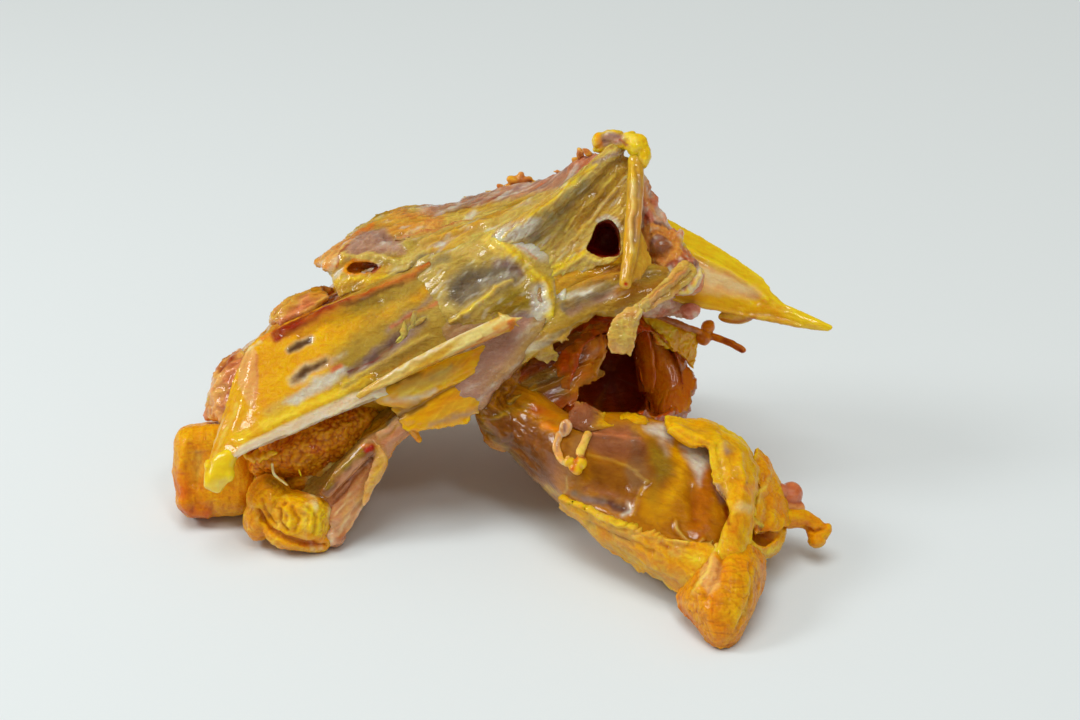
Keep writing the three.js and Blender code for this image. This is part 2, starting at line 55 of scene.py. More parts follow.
ACROSS, DOWN = 0, 1
EYE_DISTANCE = 0.62
EYE_TILT = math.radians(27)
AIM = np.array([0.012, 0.0035, 0.055])
RIGHT = np.array([1.0, 0.0, 0.0])
NEAR = np.array([0.0, -math.cos(EYE_TILT), math.sin(EYE_TILT)])
UP = np.array([0.0, math.sin(EYE_TILT), math.cos(EYE_TILT)])
SENSOR_WIDTH = 36.0
RIB_RELIEF = 0.07
EDGE_SHARE = 0.25
FLOOR_CLEARANCE = 0.1 * MM
CREASE_WIDTH = 0.16
FRONT_START = -0.25
FRONT_SOFTNESS = 0.4
FAR_SIDE = -0.3
NEAR_SIDE_THINNING = 0.4
CURVE_STEPS = 60
DOME_ANGLES = np.radians((20, 42, 62, 80))
TEAR_REACH = 2.5 * MM
COARSE_TEAR = 3.2
FINE_TEAR = 1.2
WANDERS = ((8, 3, 10), (2.6, 1.6, 20))
STROKE_SOFTNESS = 1.3
STROKE_BREAK = 0.45
STROKE_BREAK_SIZE = 3.5
MOTTLE_SOFTNESS = 0.8
CREST_HEIGHT = 0.14 * MM
# How much painted shade deepens hollows and painted light pales crests, in red, green and blue.
HOLLOW_SHADE_CREST_LIGHT = np.array([0.12, 0.2, 0.24])
GAMMA = 2.2
CUT_SMOOTHING = 2
MELD_SOFTNESS = 6
PIMPLE_DRIFT = 0.4
PIMPLE_TIGHTNESS = 1.6
CREST_RANGE = (-1, 0.7)
CELL_PRIMES = (73856093, 19349663, 83492791)
SEED_PRIME = 2654435761
MIXING_PRIME = 1274126177

# Tones as they look, red, green and blue from 0 to 255.
TONES = {
    "lemon": (236, 198, 32), "yolk": (230, 168, 0), "gold": (206, 146, 8), "amber": (180, 114, 8),
    "honey": (208, 160, 50), "butter": (240, 208, 88), "cream": (240, 222, 166), "pearl": (228, 214, 192),
    "bone": (230, 212, 136), "olive": (146, 120, 30), "sage": (140, 128, 78), "brown": (126, 72, 22),
    "umber": (86, 48, 16), "slate": (98, 70, 44), "plum": (110, 68, 60), "mauve": (178, 134, 112),
    "rust": (174, 76, 20), "brick": (150, 44, 16), "blood": (130, 22, 6), "marrow": (178, 28, 14),
    # The darkest red tone, for the walls of torn holes, is painted shade.
    "hole_shade": (96, 22, 4), "salmon": (210, 122, 76), "meat": (190, 108, 62), "peach": (230, 170, 92),
    "coral": (224, 130, 52), "tangerine": (228, 138, 14), "skin": (226, 146, 0), "ochre": (180, 92, 0),
    "rind": (208, 88, 8), "pink": (210, 134, 112), "straw": (208, 178, 88), "mist": (214, 208, 190),
    "smoke": (124, 110, 88), "lilac": (152, 122, 118), "dusk": (176, 142, 52), "shell": (248, 220, 184),
    "apricot": (226, 152, 66), "strip": (216, 150, 98), "rose": (150, 92, 58),
}

RIB_CAGE = {
    "crest": [(213, 412, -24), (225, 374, -26), (252, 344, -28), (292, 310, -28), (335, 292, -26),
        (390, 262, -26), (450, 238, -26), (520, 215, -22), (585, 185, -12)],
    "upper_front": [(238, 440, -12), (262, 400, -8), (300, 365, -8), (345, 340, -6), (390, 312, -5),
        (440, 290, -5), (490, 268, -4), (540, 245, -2), (600, 225, -3)],
    "lower_front": [(262, 452, -14), (305, 432, -10), (350, 412, -8), (395, 396, -4), (440, 380, 0),
        (480, 350, 2), (530, 305, 3), (580, 280, 2), (640, 262, -2)],
    "lower_edge": [(290, 448, -20), (330, 436, -16), (372, 420, -14), (415, 405, -10), (455, 395, -6),
        (500, 365, -4), (550, 325, -4), (600, 305, -6), (668, 285, -6)],
    "underside": [(280, 440, -34), (325, 425, -44), (370, 405, -50), (415, 390, -52), (460, 375, -50),
        (505, 350, -46), (555, 318, -40), (605, 295, -30), (660, 275, -16)],
    "back": [(255, 410, -42), (290, 385, -54), (330, 360, -62), (375, 335, -66), (425, 312, -66),
        (475, 290, -60), (530, 265, -50), (590, 240, -36), (640, 235, -20)],
    "upper_back": [(232, 395, -36), (250, 360, -44), (280, 325, -50), (325, 300, -52), (370, 275, -54),
        (425, 250, -52), (480, 230, -46), (540, 212, -36), (600, 195, -22)],
}
FAR_LOBE = {
    "top": [(315, 263, -18), (336, 251, -22), (356, 230, -28), (392, 212, -32), (440, 206, -34),
        (495, 191, -34), (550, 179, -30), (595, 152, -14)],
    "middle": [(325, 268, -12), (352, 250, -14), (385, 238, -16), (425, 230, -18), (465, 220, -20),
        (510, 207, -20), (555, 190, -18), (598, 158, -10)],
    "bottom": [(338, 282, -12), (365, 270, -12), (395, 262, -12), (430, 252, -10), (470, 240, -8),
        (510, 226, -8), (550, 208, -8), (602, 172, -8)],
}
PLATE = {
    "top": [(207, 472, 9), (222, 424, 5), (238, 376, 0), (254, 344, -3), (292, 322, -4), (342, 300, -5),
        (400, 272, -6), (450, 250, -6)],
    "middle": [(209, 480, 12), (240, 440, 11), (275, 400, 8), (310, 375, 5), (350, 350, 3), (400, 322, 1),
        (440, 300, 0), (480, 280, -1)],
    "bottom": [(213, 485, 13), (237, 457, 14), (284, 437, 12), (334, 415, 9), (384, 396, 6), (428, 383, 4),
        (470, 363, 3), (510, 335, 1)],
}
CROWN = {
    "top": [(326, 266, -14), (347, 254, -14), (385, 240, -13), (440, 228, -12), (500, 212, -10),
        (560, 186, -6)],
    "bottom": [(338, 298, -8), (364, 289, -6), (402, 274, -5), (450, 256, -3), (500, 245, 0),
        (560, 225, 0)],
}
KEEL = {
    "ridge": [(505, 240, 2), (540, 215, 3), (580, 183, 2), (618, 152, -2)],
    "middle": [(520, 262, 1), (560, 232, 0), (600, 200, -1), (632, 162, -2)],
    "edge": [(545, 290, 0), (590, 268, 1), (615, 260, 2), (632, 235, 2)],
}
SIDE_FLAP = {
    "top": [(515, 372, -4), (550, 345, -8), (585, 328, -12), (608, 322, -14)],
    "bottom": [(505, 408, -2), (545, 418, -4), (572, 398, -6), (603, 374, -10)],
}
STRUT_FLAP = {
    "far": [(637, 222, 5), (646, 245, 5), (650, 262, 6), (640, 280, 8)],
    "near": [(633, 225, 6), (632, 250, 8), (628, 275, 10), (626, 284, 11)],
}
STRAP_FLAP = {
    "left": [(630, 306, 13), (613, 318, 14), (606, 335, 14), (611, 350, 13)],
    "right": [(643, 304, 12), (641, 320, 13), (636, 338, 13), (630, 356, 12)],
}
SHOULDER_BAND = {
    "top": [(548, 290, -2), (585, 276, -3), (625, 262, -2), (672, 268, -2)],
    "middle": [(535, 325, 3), (575, 305, 4), (620, 290, 4), (674, 286, 2)],
    "bottom": [(505, 378, 4), (545, 348, 6), (585, 322, 6), (655, 306, 2)],
}
SHOULDER_MEAT = {
    "top": [(596, 154, -8), (620, 158, -8), (640, 178, -8)],
    "upper": [(560, 205, -18), (604, 212, -22), (650, 215, -18)],
    "lower": [(540, 250, -18), (604, 256, -20), (662, 250, -16)],
    "bottom": [(545, 290, -8), (604, 285, -8), (670, 278, -6)],
}
SHOULDER_BRIDGE = {
    "top": [(640, 300, -8), (668, 296, -10), (700, 300, -14)],
    "bottom": [(642, 318, -16), (668, 315, -20), (694, 318, -22)],
}
SECOND_PLATE = {
    "top": [(365, 396, 6), (410, 375, 6), (450, 358, 5), (485, 345, 4)],
    "bottom": [(385, 405, 4), (415, 408, 3), (450, 400, 3), (480, 380, 3)],
}
THIRD_PLATE = {
    "top": [(392, 408, 2), (430, 395, 2), (465, 380, 3), (495, 370, 3)],
    "bottom": [(400, 426, 2), (424, 431, 3), (452, 430, 3), (476, 412, 3)],
}
FLANK_MEMBRANE = {
    "left": [(430, 330, 2), (445, 370, 3), (455, 405, 3)],
    "middle_left": [(470, 300, 2), (480, 350, 3), (480, 410, 3)],
    "middle_right": [(520, 285, 3), (510, 345, 4), (494, 392, 4)],
    "right": [(548, 290, 3), (545, 325, 5), (520, 365, 5)],
}
LEG_STRIP = {
    "back": [(440, 372, -8), (392, 402, -10), (345, 440, -10), (310, 478, -8), (300, 500, -4)],
    "middle": [(448, 400, 0), (400, 425, 0), (366, 462, 0), (340, 500, 0), (325, 520, 1)],
    "edge": [(452, 420, -4), (406, 436, -3), (384, 468, -3), (362, 508, -2), (340, 543, 0)],
}
RIB_BASKET = {
    "top": [(518, 352, -22), (560, 318, -30), (610, 303, -38), (655, 310, -44), (684, 330, -46)],
    "upper_front": [(512, 366, -14), (560, 338, -12), (605, 328, -12), (652, 322, -22), (684, 345, -34)],
    "lower_front": [(512, 390, -12), (555, 395, -6), (600, 402, -4), (655, 404, -12), (688, 386, -34)],
    "bottom": [(524, 412, -20), (565, 440, -20), (610, 458, -28), (655, 452, -36), (687, 418, -46)],
    "lower_back": [(530, 410, -40), (570, 426, -58), (615, 438, -72), (655, 434, -70), (684, 405, -62)],
    "back": [(530, 385, -48), (570, 370, -70), (615, 360, -82), (655, 362, -78), (684, 372, -66)],
    "upper_back": [(525, 360, -40), (565, 332, -56), (612, 316, -64), (655, 320, -64), (684, 344, -58)],
}
PELVIS = {
    "top": [(500, 375, -6), (530, 388, -4), (562, 414, 6), (600, 414, 6), (650, 418, 4), (695, 424, 5),
        (730, 436, 8), (752, 458, 12)],
    "upper_face": [(484, 392, -4), (515, 425, 2), (560, 452, 16), (610, 460, 19), (660, 468, 21),
        (705, 475, 21), (732, 490, 22), (752, 505, 20)],
    "lower_face": [(478, 410, -6), (510, 445, -2), (550, 480, 10), (588, 512, 20), (628, 535, 28),
        (670, 548, 33), (705, 552, 33), (740, 545, 28)],
    "bottom": [(482, 422, -12), (516, 458, -8), (558, 502, 2), (598, 535, 12), (638, 563, 20),
        (672, 577, 26), (700, 577, 28), (735, 565, 26)],
    "underside": [(486, 425, -20), (520, 455, -18), (560, 490, -12), (600, 515, -6), (640, 535, 2),
        (675, 548, 8), (705, 550, 12), (735, 545, 14)],
    "back": [(500, 395, -22), (535, 415, -20), (575, 440, -18), (615, 450, -18), (660, 460, -16),
        (700, 470, -12), (730, 480, -4), (750, 490, 4)],
    "upper_back": [(505, 375, -16), (540, 392, -16), (578, 424, -10), (618, 430, -12), (662, 436, -12),
        (702, 442, -10), (732, 450, -2), (752, 468, 6)],
}
BASKET_CORNER = {
    "left": [(644, 318, -22), (672, 317, -24), (700, 332, -30)],
    "right": [(655, 345, -24), (678, 352, -28), (691, 366, -32)],
}
BASKET_WALL = {
    "outer": [(684, 366, -40), (695, 380, -42), (692, 395, -42), (690, 412, -40)],
    "inner": [(668, 360, -40), (672, 378, -42), (672, 395, -42), (668, 412, -40)],
}
TAIL = {
    "left": [(694, 562, 28), (680, 588, 32), (677, 602, 35), (692, 620, 39), (707, 641, 43)],
    "middle_left": [(722, 548, 36), (712, 580, 44), (710, 604, 48), (715, 628, 49), (720, 647, 47)],
    "middle_right": [(745, 545, 34), (742, 575, 42), (738, 602, 46), (730, 628, 48), (726, 648, 46)],
    "right": [(762, 552, 22), (762, 576, 28), (755, 602, 34), (742, 628, 40), (732, 644, 44)],
}
BLADE = {
    "top": [(655, 214, -20), (690, 232, -20), (722, 250, -19), (745, 266, -18), (768, 284, -17),
        (780, 300, -16), (806, 313, -15.5), (832, 325, -15)],
    "middle": [(660, 255, -14), (695, 268, -14), (728, 282, -15), (752, 295, -16), (772, 305, -16),
        (784, 312, -16), (806, 320, -15.5), (833, 328, -15)],
    "bottom": [(662, 296, -10), (694, 307, -12), (728, 313, -14), (756, 318, -15), (775, 321, -15),
        (786, 324, -15), (806, 329, -15), (828, 332, -15)],
}
KEEL_RIDGE = [(500, 243, 3, 4.5, 3), (535, 218, 5, 3.4, 3), (575, 185, 4, 2.8, 2.6), (612, 154, 1, 3, 3),
    (621, 143, -1, 3, 3)]
STRUT = [(636, 160, 2, 2.6, 2.4), (635, 200, 5, 2.8, 2.4), (631, 245, 8, 2.6, 2.2), (625, 284, 11, 2, 1.6)]
SHOULDER_EDGE = [(640, 178, -8, 2, 4), (645, 208, -12, 3.6, 9), (656, 236, -12, 5.6, 11),
    (674, 262, -8, 6.4, 10), (688, 280, -2, 5, 6)]
STRAP = [(690, 268, 5, 3.4, 1.8), (668, 288, 9, 3, 1.6), (645, 306, 12, 2.2, 1.5)]
THIRD_PLATE_POINT = [(408, 422, 1, 2, 1.6), (419, 440, 0, 0.9, 0.9)]
BLOCK_TO_LUMP = [(236, 482, -20, 7, 8), (285, 482, -16, 7, 8), (335, 462, -14, 8, 8)]
LUMP_ROLL = [(262, 510, 0, 3, 3), (272, 530, 2, 3, 3.5), (292, 542, 3, 3, 3.5), (322, 542, 1, 3, 3)]
FOLLICLE_SKIN = [(264, 462, -10, 5, 8), (300, 450, -9, 9, 9), (335, 435, -10, 9, 9), (366, 414, -13, 5, 7)]
BLOCK_TO_RIBS = [(228, 452, -28, 10, 10), (270, 425, -30, 12, 13), (320, 400, -32, 12, 15),
    (380, 372, -32, 12, 17)]
BEND = [(514, 362, -8, 5, 6), (490, 402, -6, 6, 8), (505, 425, -8, 8, 10)]
MARROW_ROD = [(714, 337, -30, 1.3, 1.3), (729, 342, -29, 1.2, 1.2), (743, 350, -28, 1.3, 1.3)]
SHOULDER_JOINT = {"place": (685, 281, 3), "radii": (6, 4.6, 4.5), "turn": 35}
SKIN_BLOCK = {"place": (219, 468, -21), "radii": (13.7, 15.2, 13), "turn": 2, "squareness": 5}
STRIP_END = {"place": (332, 536, -2), "radii": (4.6, 3.8, 4.6)}
BLADE_LOBE = {"place": (735, 317, -16), "radii": (6, 2.6, 2.2)}
BLADE_SCRAP = {"place": (690, 311, -11.5), "radii": (3.4, 2.8, 2.8)}
KEEL_TEAR = [(585, 250), (590, 238), (597, 223), (604, 219), (613, 220), (620, 232), (620, 256),
    (610, 258), (597, 257)]
LOBE_TEAR = [(342, 271), (346, 264), (354, 259), (368, 260), (381, 266), (374, 272), (360, 274), (348, 275)]
BASKET_TEAR = [(569, 398), (572, 372), (581, 346), (596, 334), (616, 330), (634, 334), (642, 352),
    (645, 380), (652, 404), (640, 418), (610, 420), (584, 416)]
BASKET_DISH = [(634, 334), (650, 328), (668, 340), (683, 368), (684, 392), (676, 412), (652, 418), (640, 380)]
CREST_FAT = [(504, 192, -31), (520, 182, -31), (533, 189, -29)]
CREST_BITS = [(556, 178, -26), (568, 172, -22), (580, 156, -16), (585, 150, -12)]
CENTRE = {
    "top": [(392, 262, -9), (430, 252, -6), (468, 238, -5), (505, 228, -1), (542, 222, -3)],
    "upper": [(398, 282, -7), (438, 270, -2), (474, 258, 0), (510, 250, 3), (552, 248, -1)],
    "middle": [(404, 306, -3), (446, 292, 1), (482, 281, 2), (518, 275, 4), (562, 272, -1)],
    "lower": [(418, 324, -2), (458, 312, 3), (492, 303, 4), (528, 302, 5), (574, 298, 0)],
    "bottom": [(432, 342, -1), (470, 334, 2), (502, 330, 4), (536, 330, 5), (574, 324, 1)],
}
LINING = {
    "inner": [(634, 332, -32), (641, 352, -36), (646, 382, -37), (652, 412, -32)],
    "middle": [(650, 336, -30), (662, 358, -32), (669, 384, -31), (666, 416, -24)],
    "outer": [(664, 346, -33), (682, 364, -34), (694, 384, -33), (687, 412, -28)],
}
FAR_FLAP = {
    "back": [(270, 324, -20), (288, 302, -24), (316, 290, -26)],
    "middle": [(274, 322, -15), (294, 304, -17), (324, 290, -19)],
    "front": [(280, 326, -12), (302, 314, -12), (330, 298, -14)],
}
LEFT_FLAP = {
    "back": [(242, 348, -24), (222, 366, -24), (212, 390, -22), (208, 418, -20)],
    "middle": [(244, 352, -19), (224, 372, -18), (216, 394, -17), (214, 420, -16)],
    "front": [(246, 362, -14), (236, 380, -12), (230, 400, -11), (226, 424, -12)],
}
MARGIN = {
    "outer": [(666, 419, 6), (692, 421, 8), (728, 430, 10), (751, 450, 14), (758, 476, 19), (755, 504, 25),
        (751, 530, 31), (748, 562, 37)],
    "middle": [(667, 423, 12), (692, 431, 15), (716, 441, 20), (734, 460, 23), (741, 482, 26),
        (742, 506, 31), (735, 532, 36), (732, 564, 42)],
    "inner": [(669, 430, 17), (690, 444, 20), (707, 449, 22), (711, 464, 24), (714, 486, 27),
        (729, 507, 32), (721, 530, 37), (713, 562, 41)],
}
FOLD = {
    "outer": [(757, 448, 8), (768, 460, 7), (777, 482, 8), (787, 504, 9), (792, 521, 12)],
    "middle": [(754, 455, 12), (764, 474, 12), (770, 494, 14), (777, 512, 15), (780, 530, 18)],
    "inner": [(750, 462, 16), (758, 486, 19), (757, 502, 22), (754, 518, 25), (757, 534, 27)],
}
BOWL = {
    "inner": [(749, 524, 30), (752, 540, 30), (763, 546, 26), (775, 540, 20), (786, 527, 13)],
    "middle": [(745, 530, 29), (748, 547, 29), (761, 553, 25), (775, 549, 19), (786, 532, 12)],
    "outer": [(743, 536, 26), (747, 552, 26), (759, 559, 22), (773, 556, 17), (784, 538, 11)],
}
BOWL_LIP = {
    "upper": [(750, 515, 28), (758, 517, 26), (767, 525, 22)],
    "lower": [(750, 526, 28), (757, 529, 26), (766, 532, 22)],
}
PELVIS_RIM = {
    "base": [(566, 424, 12), (582, 432, 13), (602, 429, 12), (626, 426, 10), (650, 426, 9)],
    "lip": [(570, 412, 9), (581, 403, 8), (599, 411, 7), (612, 418, 6), (630, 413, 5), (647, 420, 6)],
}
RIB_FOLD = {
    "back": [(634, 332, -30), (636, 352, -34), (638, 374, -36), (640, 392, -34)],
    "front": [(648, 326, -22), (652, 350, -26), (654, 374, -28), (652, 392, -28)],
}
APRON = {
    "top": [(562, 496, 12), (590, 508, 20), (625, 524, 28), (660, 536, 33), (690, 542, 36), (712, 540, 37)],
    "middle": [(562, 502, 10), (592, 524, 17), (628, 546, 26), (662, 562, 32), (690, 572, 36),
        (718, 570, 41)],
    "bottom": [(566, 508, 4), (598, 538, 12), (634, 565, 20), (664, 580, 27), (684, 594, 33),
        (706, 598, 42)],
}


def at(places):
    """Places on the view, as metres in the model's frame."""
    places = np.asarray(places, float)
    near = places[..., 2:3] * MM
    scale = STEP * (EYE_DISTANCE - near) / EYE_DISTANCE
    across = (places[..., 0:1] - VIEW_MIDDLE[0]) * scale
    up = (VIEW_MIDDLE[1] - places[..., 1:2]) * scale
    return AIM + RIGHT * across + UP * up + NEAR * near


def seen(points):
    """The other way: where points lie on the view, and how near."""
    arm = points - AIM
    near = arm @ NEAR
    scale = STEP * (EYE_DISTANCE - near) / EYE_DISTANCE
    return np.stack([VIEW_MIDDLE[0] + arm @ RIGHT / scale, VIEW_MIDDLE[1] - arm @ UP / scale, near / MM], -1)


def unit(vectors):
    return vectors / np.maximum(np.linalg.norm(vectors, axis=-1, keepdims=True), 1e-12)


def run(start, end):
    """The direction from one place to another."""
    return unit(at(end) - at(start))


def ease(values):
    values = np.clip(values, 0, 1)
    return values * values * (3 - 2 * values)


def smooth(points, count, closed=False):
    """A centripetal Catmull-Rom curve through points, or a surface through whole rows of them."""
    points = np.asarray(points, float)
    if closed:
        line = np.concatenate([points[-1:], points, points[:2]])
        spans = len(points)
    else:
        line = np.concatenate([2 * points[:1] - points[1:2], points, 2 * points[-1:] - points[-2:-1]])
        spans = len(points) - 1
    share = np.linspace(0, spans, count + 1)
    first = np.minimum(share.astype(int), spans - 1)
    t = (share - first).reshape((-1,) + (1,) * (points.ndim - 1))
    a, b, c, d = (line[first + i] for i in range(4))
    arms = ((a, b), (b, c), (c, d))
    lengths = (np.linalg.norm(q - p, axis=-1, keepdims=True) for p, q in arms)
    before, here, after = (np.sqrt(np.maximum(length, 1e-7)) for length in lengths)
    out = ((b - a) / before - (c - a) / (before + here) + (c - b) / here) * here
    into = ((c - b) / here - (d - b) / (here + after) + (d - c) / after) * here
    return b + t * (out + t * (3 * (c - b) - 2 * out - into + t * (2 * (b - c) + out + into)))


def lattice(cells, seed):
    """A number from -1 to 1 for each whole-number cell, from products with large primes."""
    x, y, z = (cells[..., i].astype(np.int64) * CELL_PRIMES[i] for i in range(3))
    mixed = x ^ y ^ z ^ (seed * SEED_PRIME)
    mixed = (mixed ^ (mixed >> 13)) * MIXING_PRIME & 0x7FFFFFFF
    mixed = (mixed ^ (mixed >> 16)) & 0xFFFFF
    return mixed / 0x7FFFF - 1.0


def noise(points, size, seed, grain=None, stretch=1.0):
    """Smooth noise from -1 to 1 in cells of size millimetres, drawn out along the grain."""
    scaled = points / (size * MM)
    if grain is not None:
        scaled = scaled - np.outer(scaled @ grain, grain) * (1 - 1 / stretch)
    total = 0
    for octave, share in ((1.0, 0.7), (2.03, 0.3)):
        place = scaled * octave
        low = np.floor(place)
        part = ease(place - low)
        value = 0
        for corner in np.ndindex(2, 2, 2):
            weight = np.prod(np.where(corner, part, 1 - part), axis=-1)
            value = value + weight * lattice(low + corner, seed)
        total = total + share * value
    return np.clip(total * 1.5, -1, 1)


def skin(rings):
    """Faces over rings of equal length, closed at both ends."""
    rings = np.asarray(rings)
    count, sides = rings.shape[:2]
    ids = np.arange(count * sides).reshape(count, sides)
    turned = np.roll(ids, -1, axis=1)
    faces = np.stack([ids[:-1], turned[:-1], turned[1:], ids[1:]], -1).reshape(-1, 4).tolist()
    points = rings.reshape(-1, 3)
    centres = np.stack([rings[0].mean(0), rings[-1].mean(0)])
    first, last = len(points), len(points) + 1
    faces += [(b, a, first) for a, b in zip(ids[0], turned[0])]
    faces += [(a, b, last) for a, b in zip(ids[-1], turned[-1])]
    return np.concatenate([points, centres]), faces


def limb(stations, sides=20, steps=10):
    """A rounded form. A station is a place, then its radii across the path and towards the viewer."""
    stations = np.asarray(stations, float)
    count = steps * (len(stations) - 1)
    centres = smooth(at(stations[:, :3]), count)
    share = np.linspace(0, len(stations) - 1, count + 1)
    radii = np.stack([np.interp(share, range(len(stations)), stations[:, i]) for i in (3, 4)], -1) * MM
    ahead = unit(np.gradient(centres, axis=0))
    depth = unit(NEAR - ahead * (ahead @ NEAR)[:, None])
    side = np.cross(depth, ahead)
    angles = np.linspace(0, 2 * math.pi, sides, endpoint=False)
    rings = []
    for i in range(count + 1):
        ring = np.outer(np.cos(angles), side[i] * radii[i, 0])
        ring = ring + np.outer(np.sin(angles), depth[i] * radii[i, 1])
        end = -1 if i == 0 else 1 if i == count else 0
        domes = [centres[i] + end * ahead[i] * radii[i].min() * math.sin(a) + ring * math.cos(a)
                 for a in DOME_ANGLES]
        rings += domes[::-1] if end < 0 else []
        rings.append(centres[i] + ring)
        rings += domes if end > 0 else []
    return skin(rings)


def lump(place, radii, turn=0, squareness=2, sides=36, rows=24):
    """A rounded lump. Radii are right, up and near, and turn is degrees anticlockwise."""
    angle = math.radians(turn)
    right = RIGHT * math.cos(angle) + UP * math.sin(angle)
    up = UP * math.cos(angle) - RIGHT * math.sin(angle)
    polar = np.linspace(0, math.pi, rows + 1)[1:-1, None]
    around = np.linspace(0, 2 * math.pi, sides, endpoint=False)[None, :]
    shares = (np.sin(polar) * np.cos(around), np.cos(polar) + 0 * around, np.sin(polar) * np.sin(around))
    rings = at(place)
    for share, axis, radius in zip(shares, (right, up, NEAR), radii):
        rings = rings + (np.sign(share) * np.abs(share) ** (2 / squareness))[..., None] * axis * radius * MM
    return skin(rings)


def sheet(rails, thickness, back=0.0, along=110, across=40, ragged=0.0, seed=1):
    """A skin or blade between rails that run the same way. Its back swells away from the viewer."""
    lines = np.stack([smooth(at(rail), along) for rail in rails.values()])
    grid = smooth(lines, across).transpose(1, 0, 2)
    u = np.linspace(0, 1, along + 1)[:, None]
    v = np.linspace(0, 1, across + 1)[None, :]
    length = np.linalg.norm(np.diff(grid[:, across // 2], axis=0), axis=1).sum()
    width = np.linalg.norm(np.diff(grid[along // 2], axis=0), axis=1).sum()
    edge = np.minimum(np.minimum(u, 1 - u) * length, np.minimum(v, 1 - v) * width)
    ahead, aside = np.gradient(grid, axis=0), np.gradient(grid, axis=1)
    if ragged:
        torn = noise(grid.reshape(-1, 3), COARSE_TEAR, seed).reshape(edge.shape) * ragged * MM
        torn += noise(grid.reshape(-1, 3), FINE_TEAR, seed + 1).reshape(edge.shape) * ragged * MM * 0.5
        middle = grid.mean((0, 1))
        outward = unit(grid - middle)
        grid = grid + outward * (torn * np.exp(-edge / TEAR_REACH))[..., None]
    normal = unit(np.cross(ahead, aside))
    facing = np.sign((normal @ NEAR).sum())
    half = thickness * MM * (EDGE_SHARE + (0.5 - EDGE_SHARE) * ease(edge / (1.5 * thickness * MM)))
    swell = back * MM * np.sqrt(np.sin(math.pi * u) * np.sin(math.pi * v))
    front = grid + normal * (half * facing)[..., None]
    rear = grid - normal * (half * facing)[..., None] - NEAR * swell[..., None]
    count = (along + 1) * (across + 1)
    ids = np.arange(count).reshape(along + 1, across + 1)
    a, b, c, d = ids[:-1, :-1], ids[:-1, 1:], ids[1:, 1:], ids[1:, :-1]
    quads = np.stack([a, b, c, d], -1).reshape(-1, 4)
    rim = np.concatenate([ids[0, :], ids[1:, -1], ids[-1, -2::-1], ids[-2:0:-1, 0]])
    walls = np.stack([rim, rim + count, np.roll(rim, -1) + count, np.roll(rim, -1)], -1)
    faces = np.concatenate([quads, quads[:, ::-1] + count, walls]).tolist()
    return np.concatenate([front.reshape(-1, 3), rear.reshape(-1, 3)]), faces


def body(rails, along=96, around=96, ribs=0):
    """A full body inside rails that run the same way, listed around it. Ribs stand out of its far side."""
    lines = np.stack([smooth(at(rail), along) for rail in rails.values()])
    rings = smooth(lines, around, closed=True)[:-1].transpose(1, 0, 2)
    arms = rings - rings.mean(1, keepdims=True)
    swell = RIB_RELIEF * np.cos(2 * math.pi * ribs * np.linspace(0, 1, along + 1))[:, None]
    far = ease(-unit(arms) @ NEAR / 0.4)
    return skin(rings + arms * (swell * far)[..., None])


def bore(outline, near, far, shrink=0.7, steps=6):
    """A closed plug with this outline on the view, narrowing as it goes in, that cuts a torn hole."""
    edge = smooth(outline, 48, closed=True)[:-1]
    middle = edge.mean(0)
    rings = []
    for share in np.linspace(0, 1, steps):
        ring = middle + (edge - middle) * (1 + (shrink - 1) * share)
        rings.append(at(np.column_stack([ring, np.full(len(ring), near + (far - near) * share)])))
    return skin(rings)


def crumbs(path, count, size, seed, spread=2.0):
    """Crumbs of fat or meat strung along a path, no two alike."""
    dice = random.Random(seed)
    line = smooth(path, CURVE_STEPS)
    forms = []
    for i in range(count):
        x, y, near = line[round(CURVE_STEPS * (i + dice.random()) / count)]
        place = (x + dice.gauss(0, spread), y + dice.gauss(0, spread), near + dice.gauss(0, 0.3))
        radii = [size * dice.uniform(0.8, 1.7), size * dice.uniform(0.4, 0.8), size * dice.uniform(0.5, 1.1)]
        forms.append(lump(place, radii, dice.uniform(0, 180), 2, 14, 10))
    return forms


def tatters(path, count, size, seed, lean, thickness=0.7):
    """Torn rags of membrane along a path. Size is steps on the view, and lean is the way they hang."""
    dice = random.Random(seed)
    line = smooth(path, CURVE_STEPS)
    forms = []
    for i in range(count):
        spot = round((CURVE_STEPS - 4) * (i + dice.random()) / count)
        start, end = line[spot], line[spot + 4]
        along = (end - start) / max(np.linalg.norm((end - start)[:2]), 1e-6) * size * dice.uniform(0.5, 1.3)
        hang = np.array([lean[0] + dice.gauss(0, 0.4), lean[1] + dice.gauss(0, 0.4),
            dice.uniform(-0.02, 0.1)])
        hang = hang * size * dice.uniform(0.5, 1.5)
        pinch = dice.uniform(0.1, 0.7)
        rails = {"root": [start - along / 2 - hang / 3, start - hang / 3, start + along / 2 - hang / 3],
                 "middle": [start - along * 0.5, start + [0, 0, dice.gauss(0, 1)], start + along * 0.45],
                 "tip": [start + hang - along * pinch / 2, start + hang * 1.15,
                     start + hang + along * pinch / 2]}
        forms.append(sheet(rails, thickness, along=18, across=16, ragged=0.8, seed=seed + i))
    return forms


def mesh_object(name, forms):
    mesh = bpy.data.meshes.new(name)
    points, faces = [], []
    for form_points, form_faces in forms:
        start = sum(len(p) for p in points)
        points.append(form_points)
        faces += [[start + i for i in face] for face in form_faces]
    mesh.from_pydata(np.concatenate(points).tolist(), [], faces)
    mesh.update()
    piece = bpy.data.objects.new(name, mesh)
    bpy.context.scene.collection.objects.link(piece)
    return piece


def modify(piece, kind, **settings):
    modifier = piece.modifiers.new(kind.lower(), kind)
    for name, value in settings.items():
        setattr(modifier, name, value)


def apply_modifiers(piece):
    graph = bpy.context.evaluated_depsgraph_get()
    mesh = bpy.data.meshes.new_from_object(piece.evaluated_get(graph), depsgraph=graph)
    old = piece.data
    piece.modifiers.clear()
    piece.data = mesh
    bpy.data.meshes.remove(old)


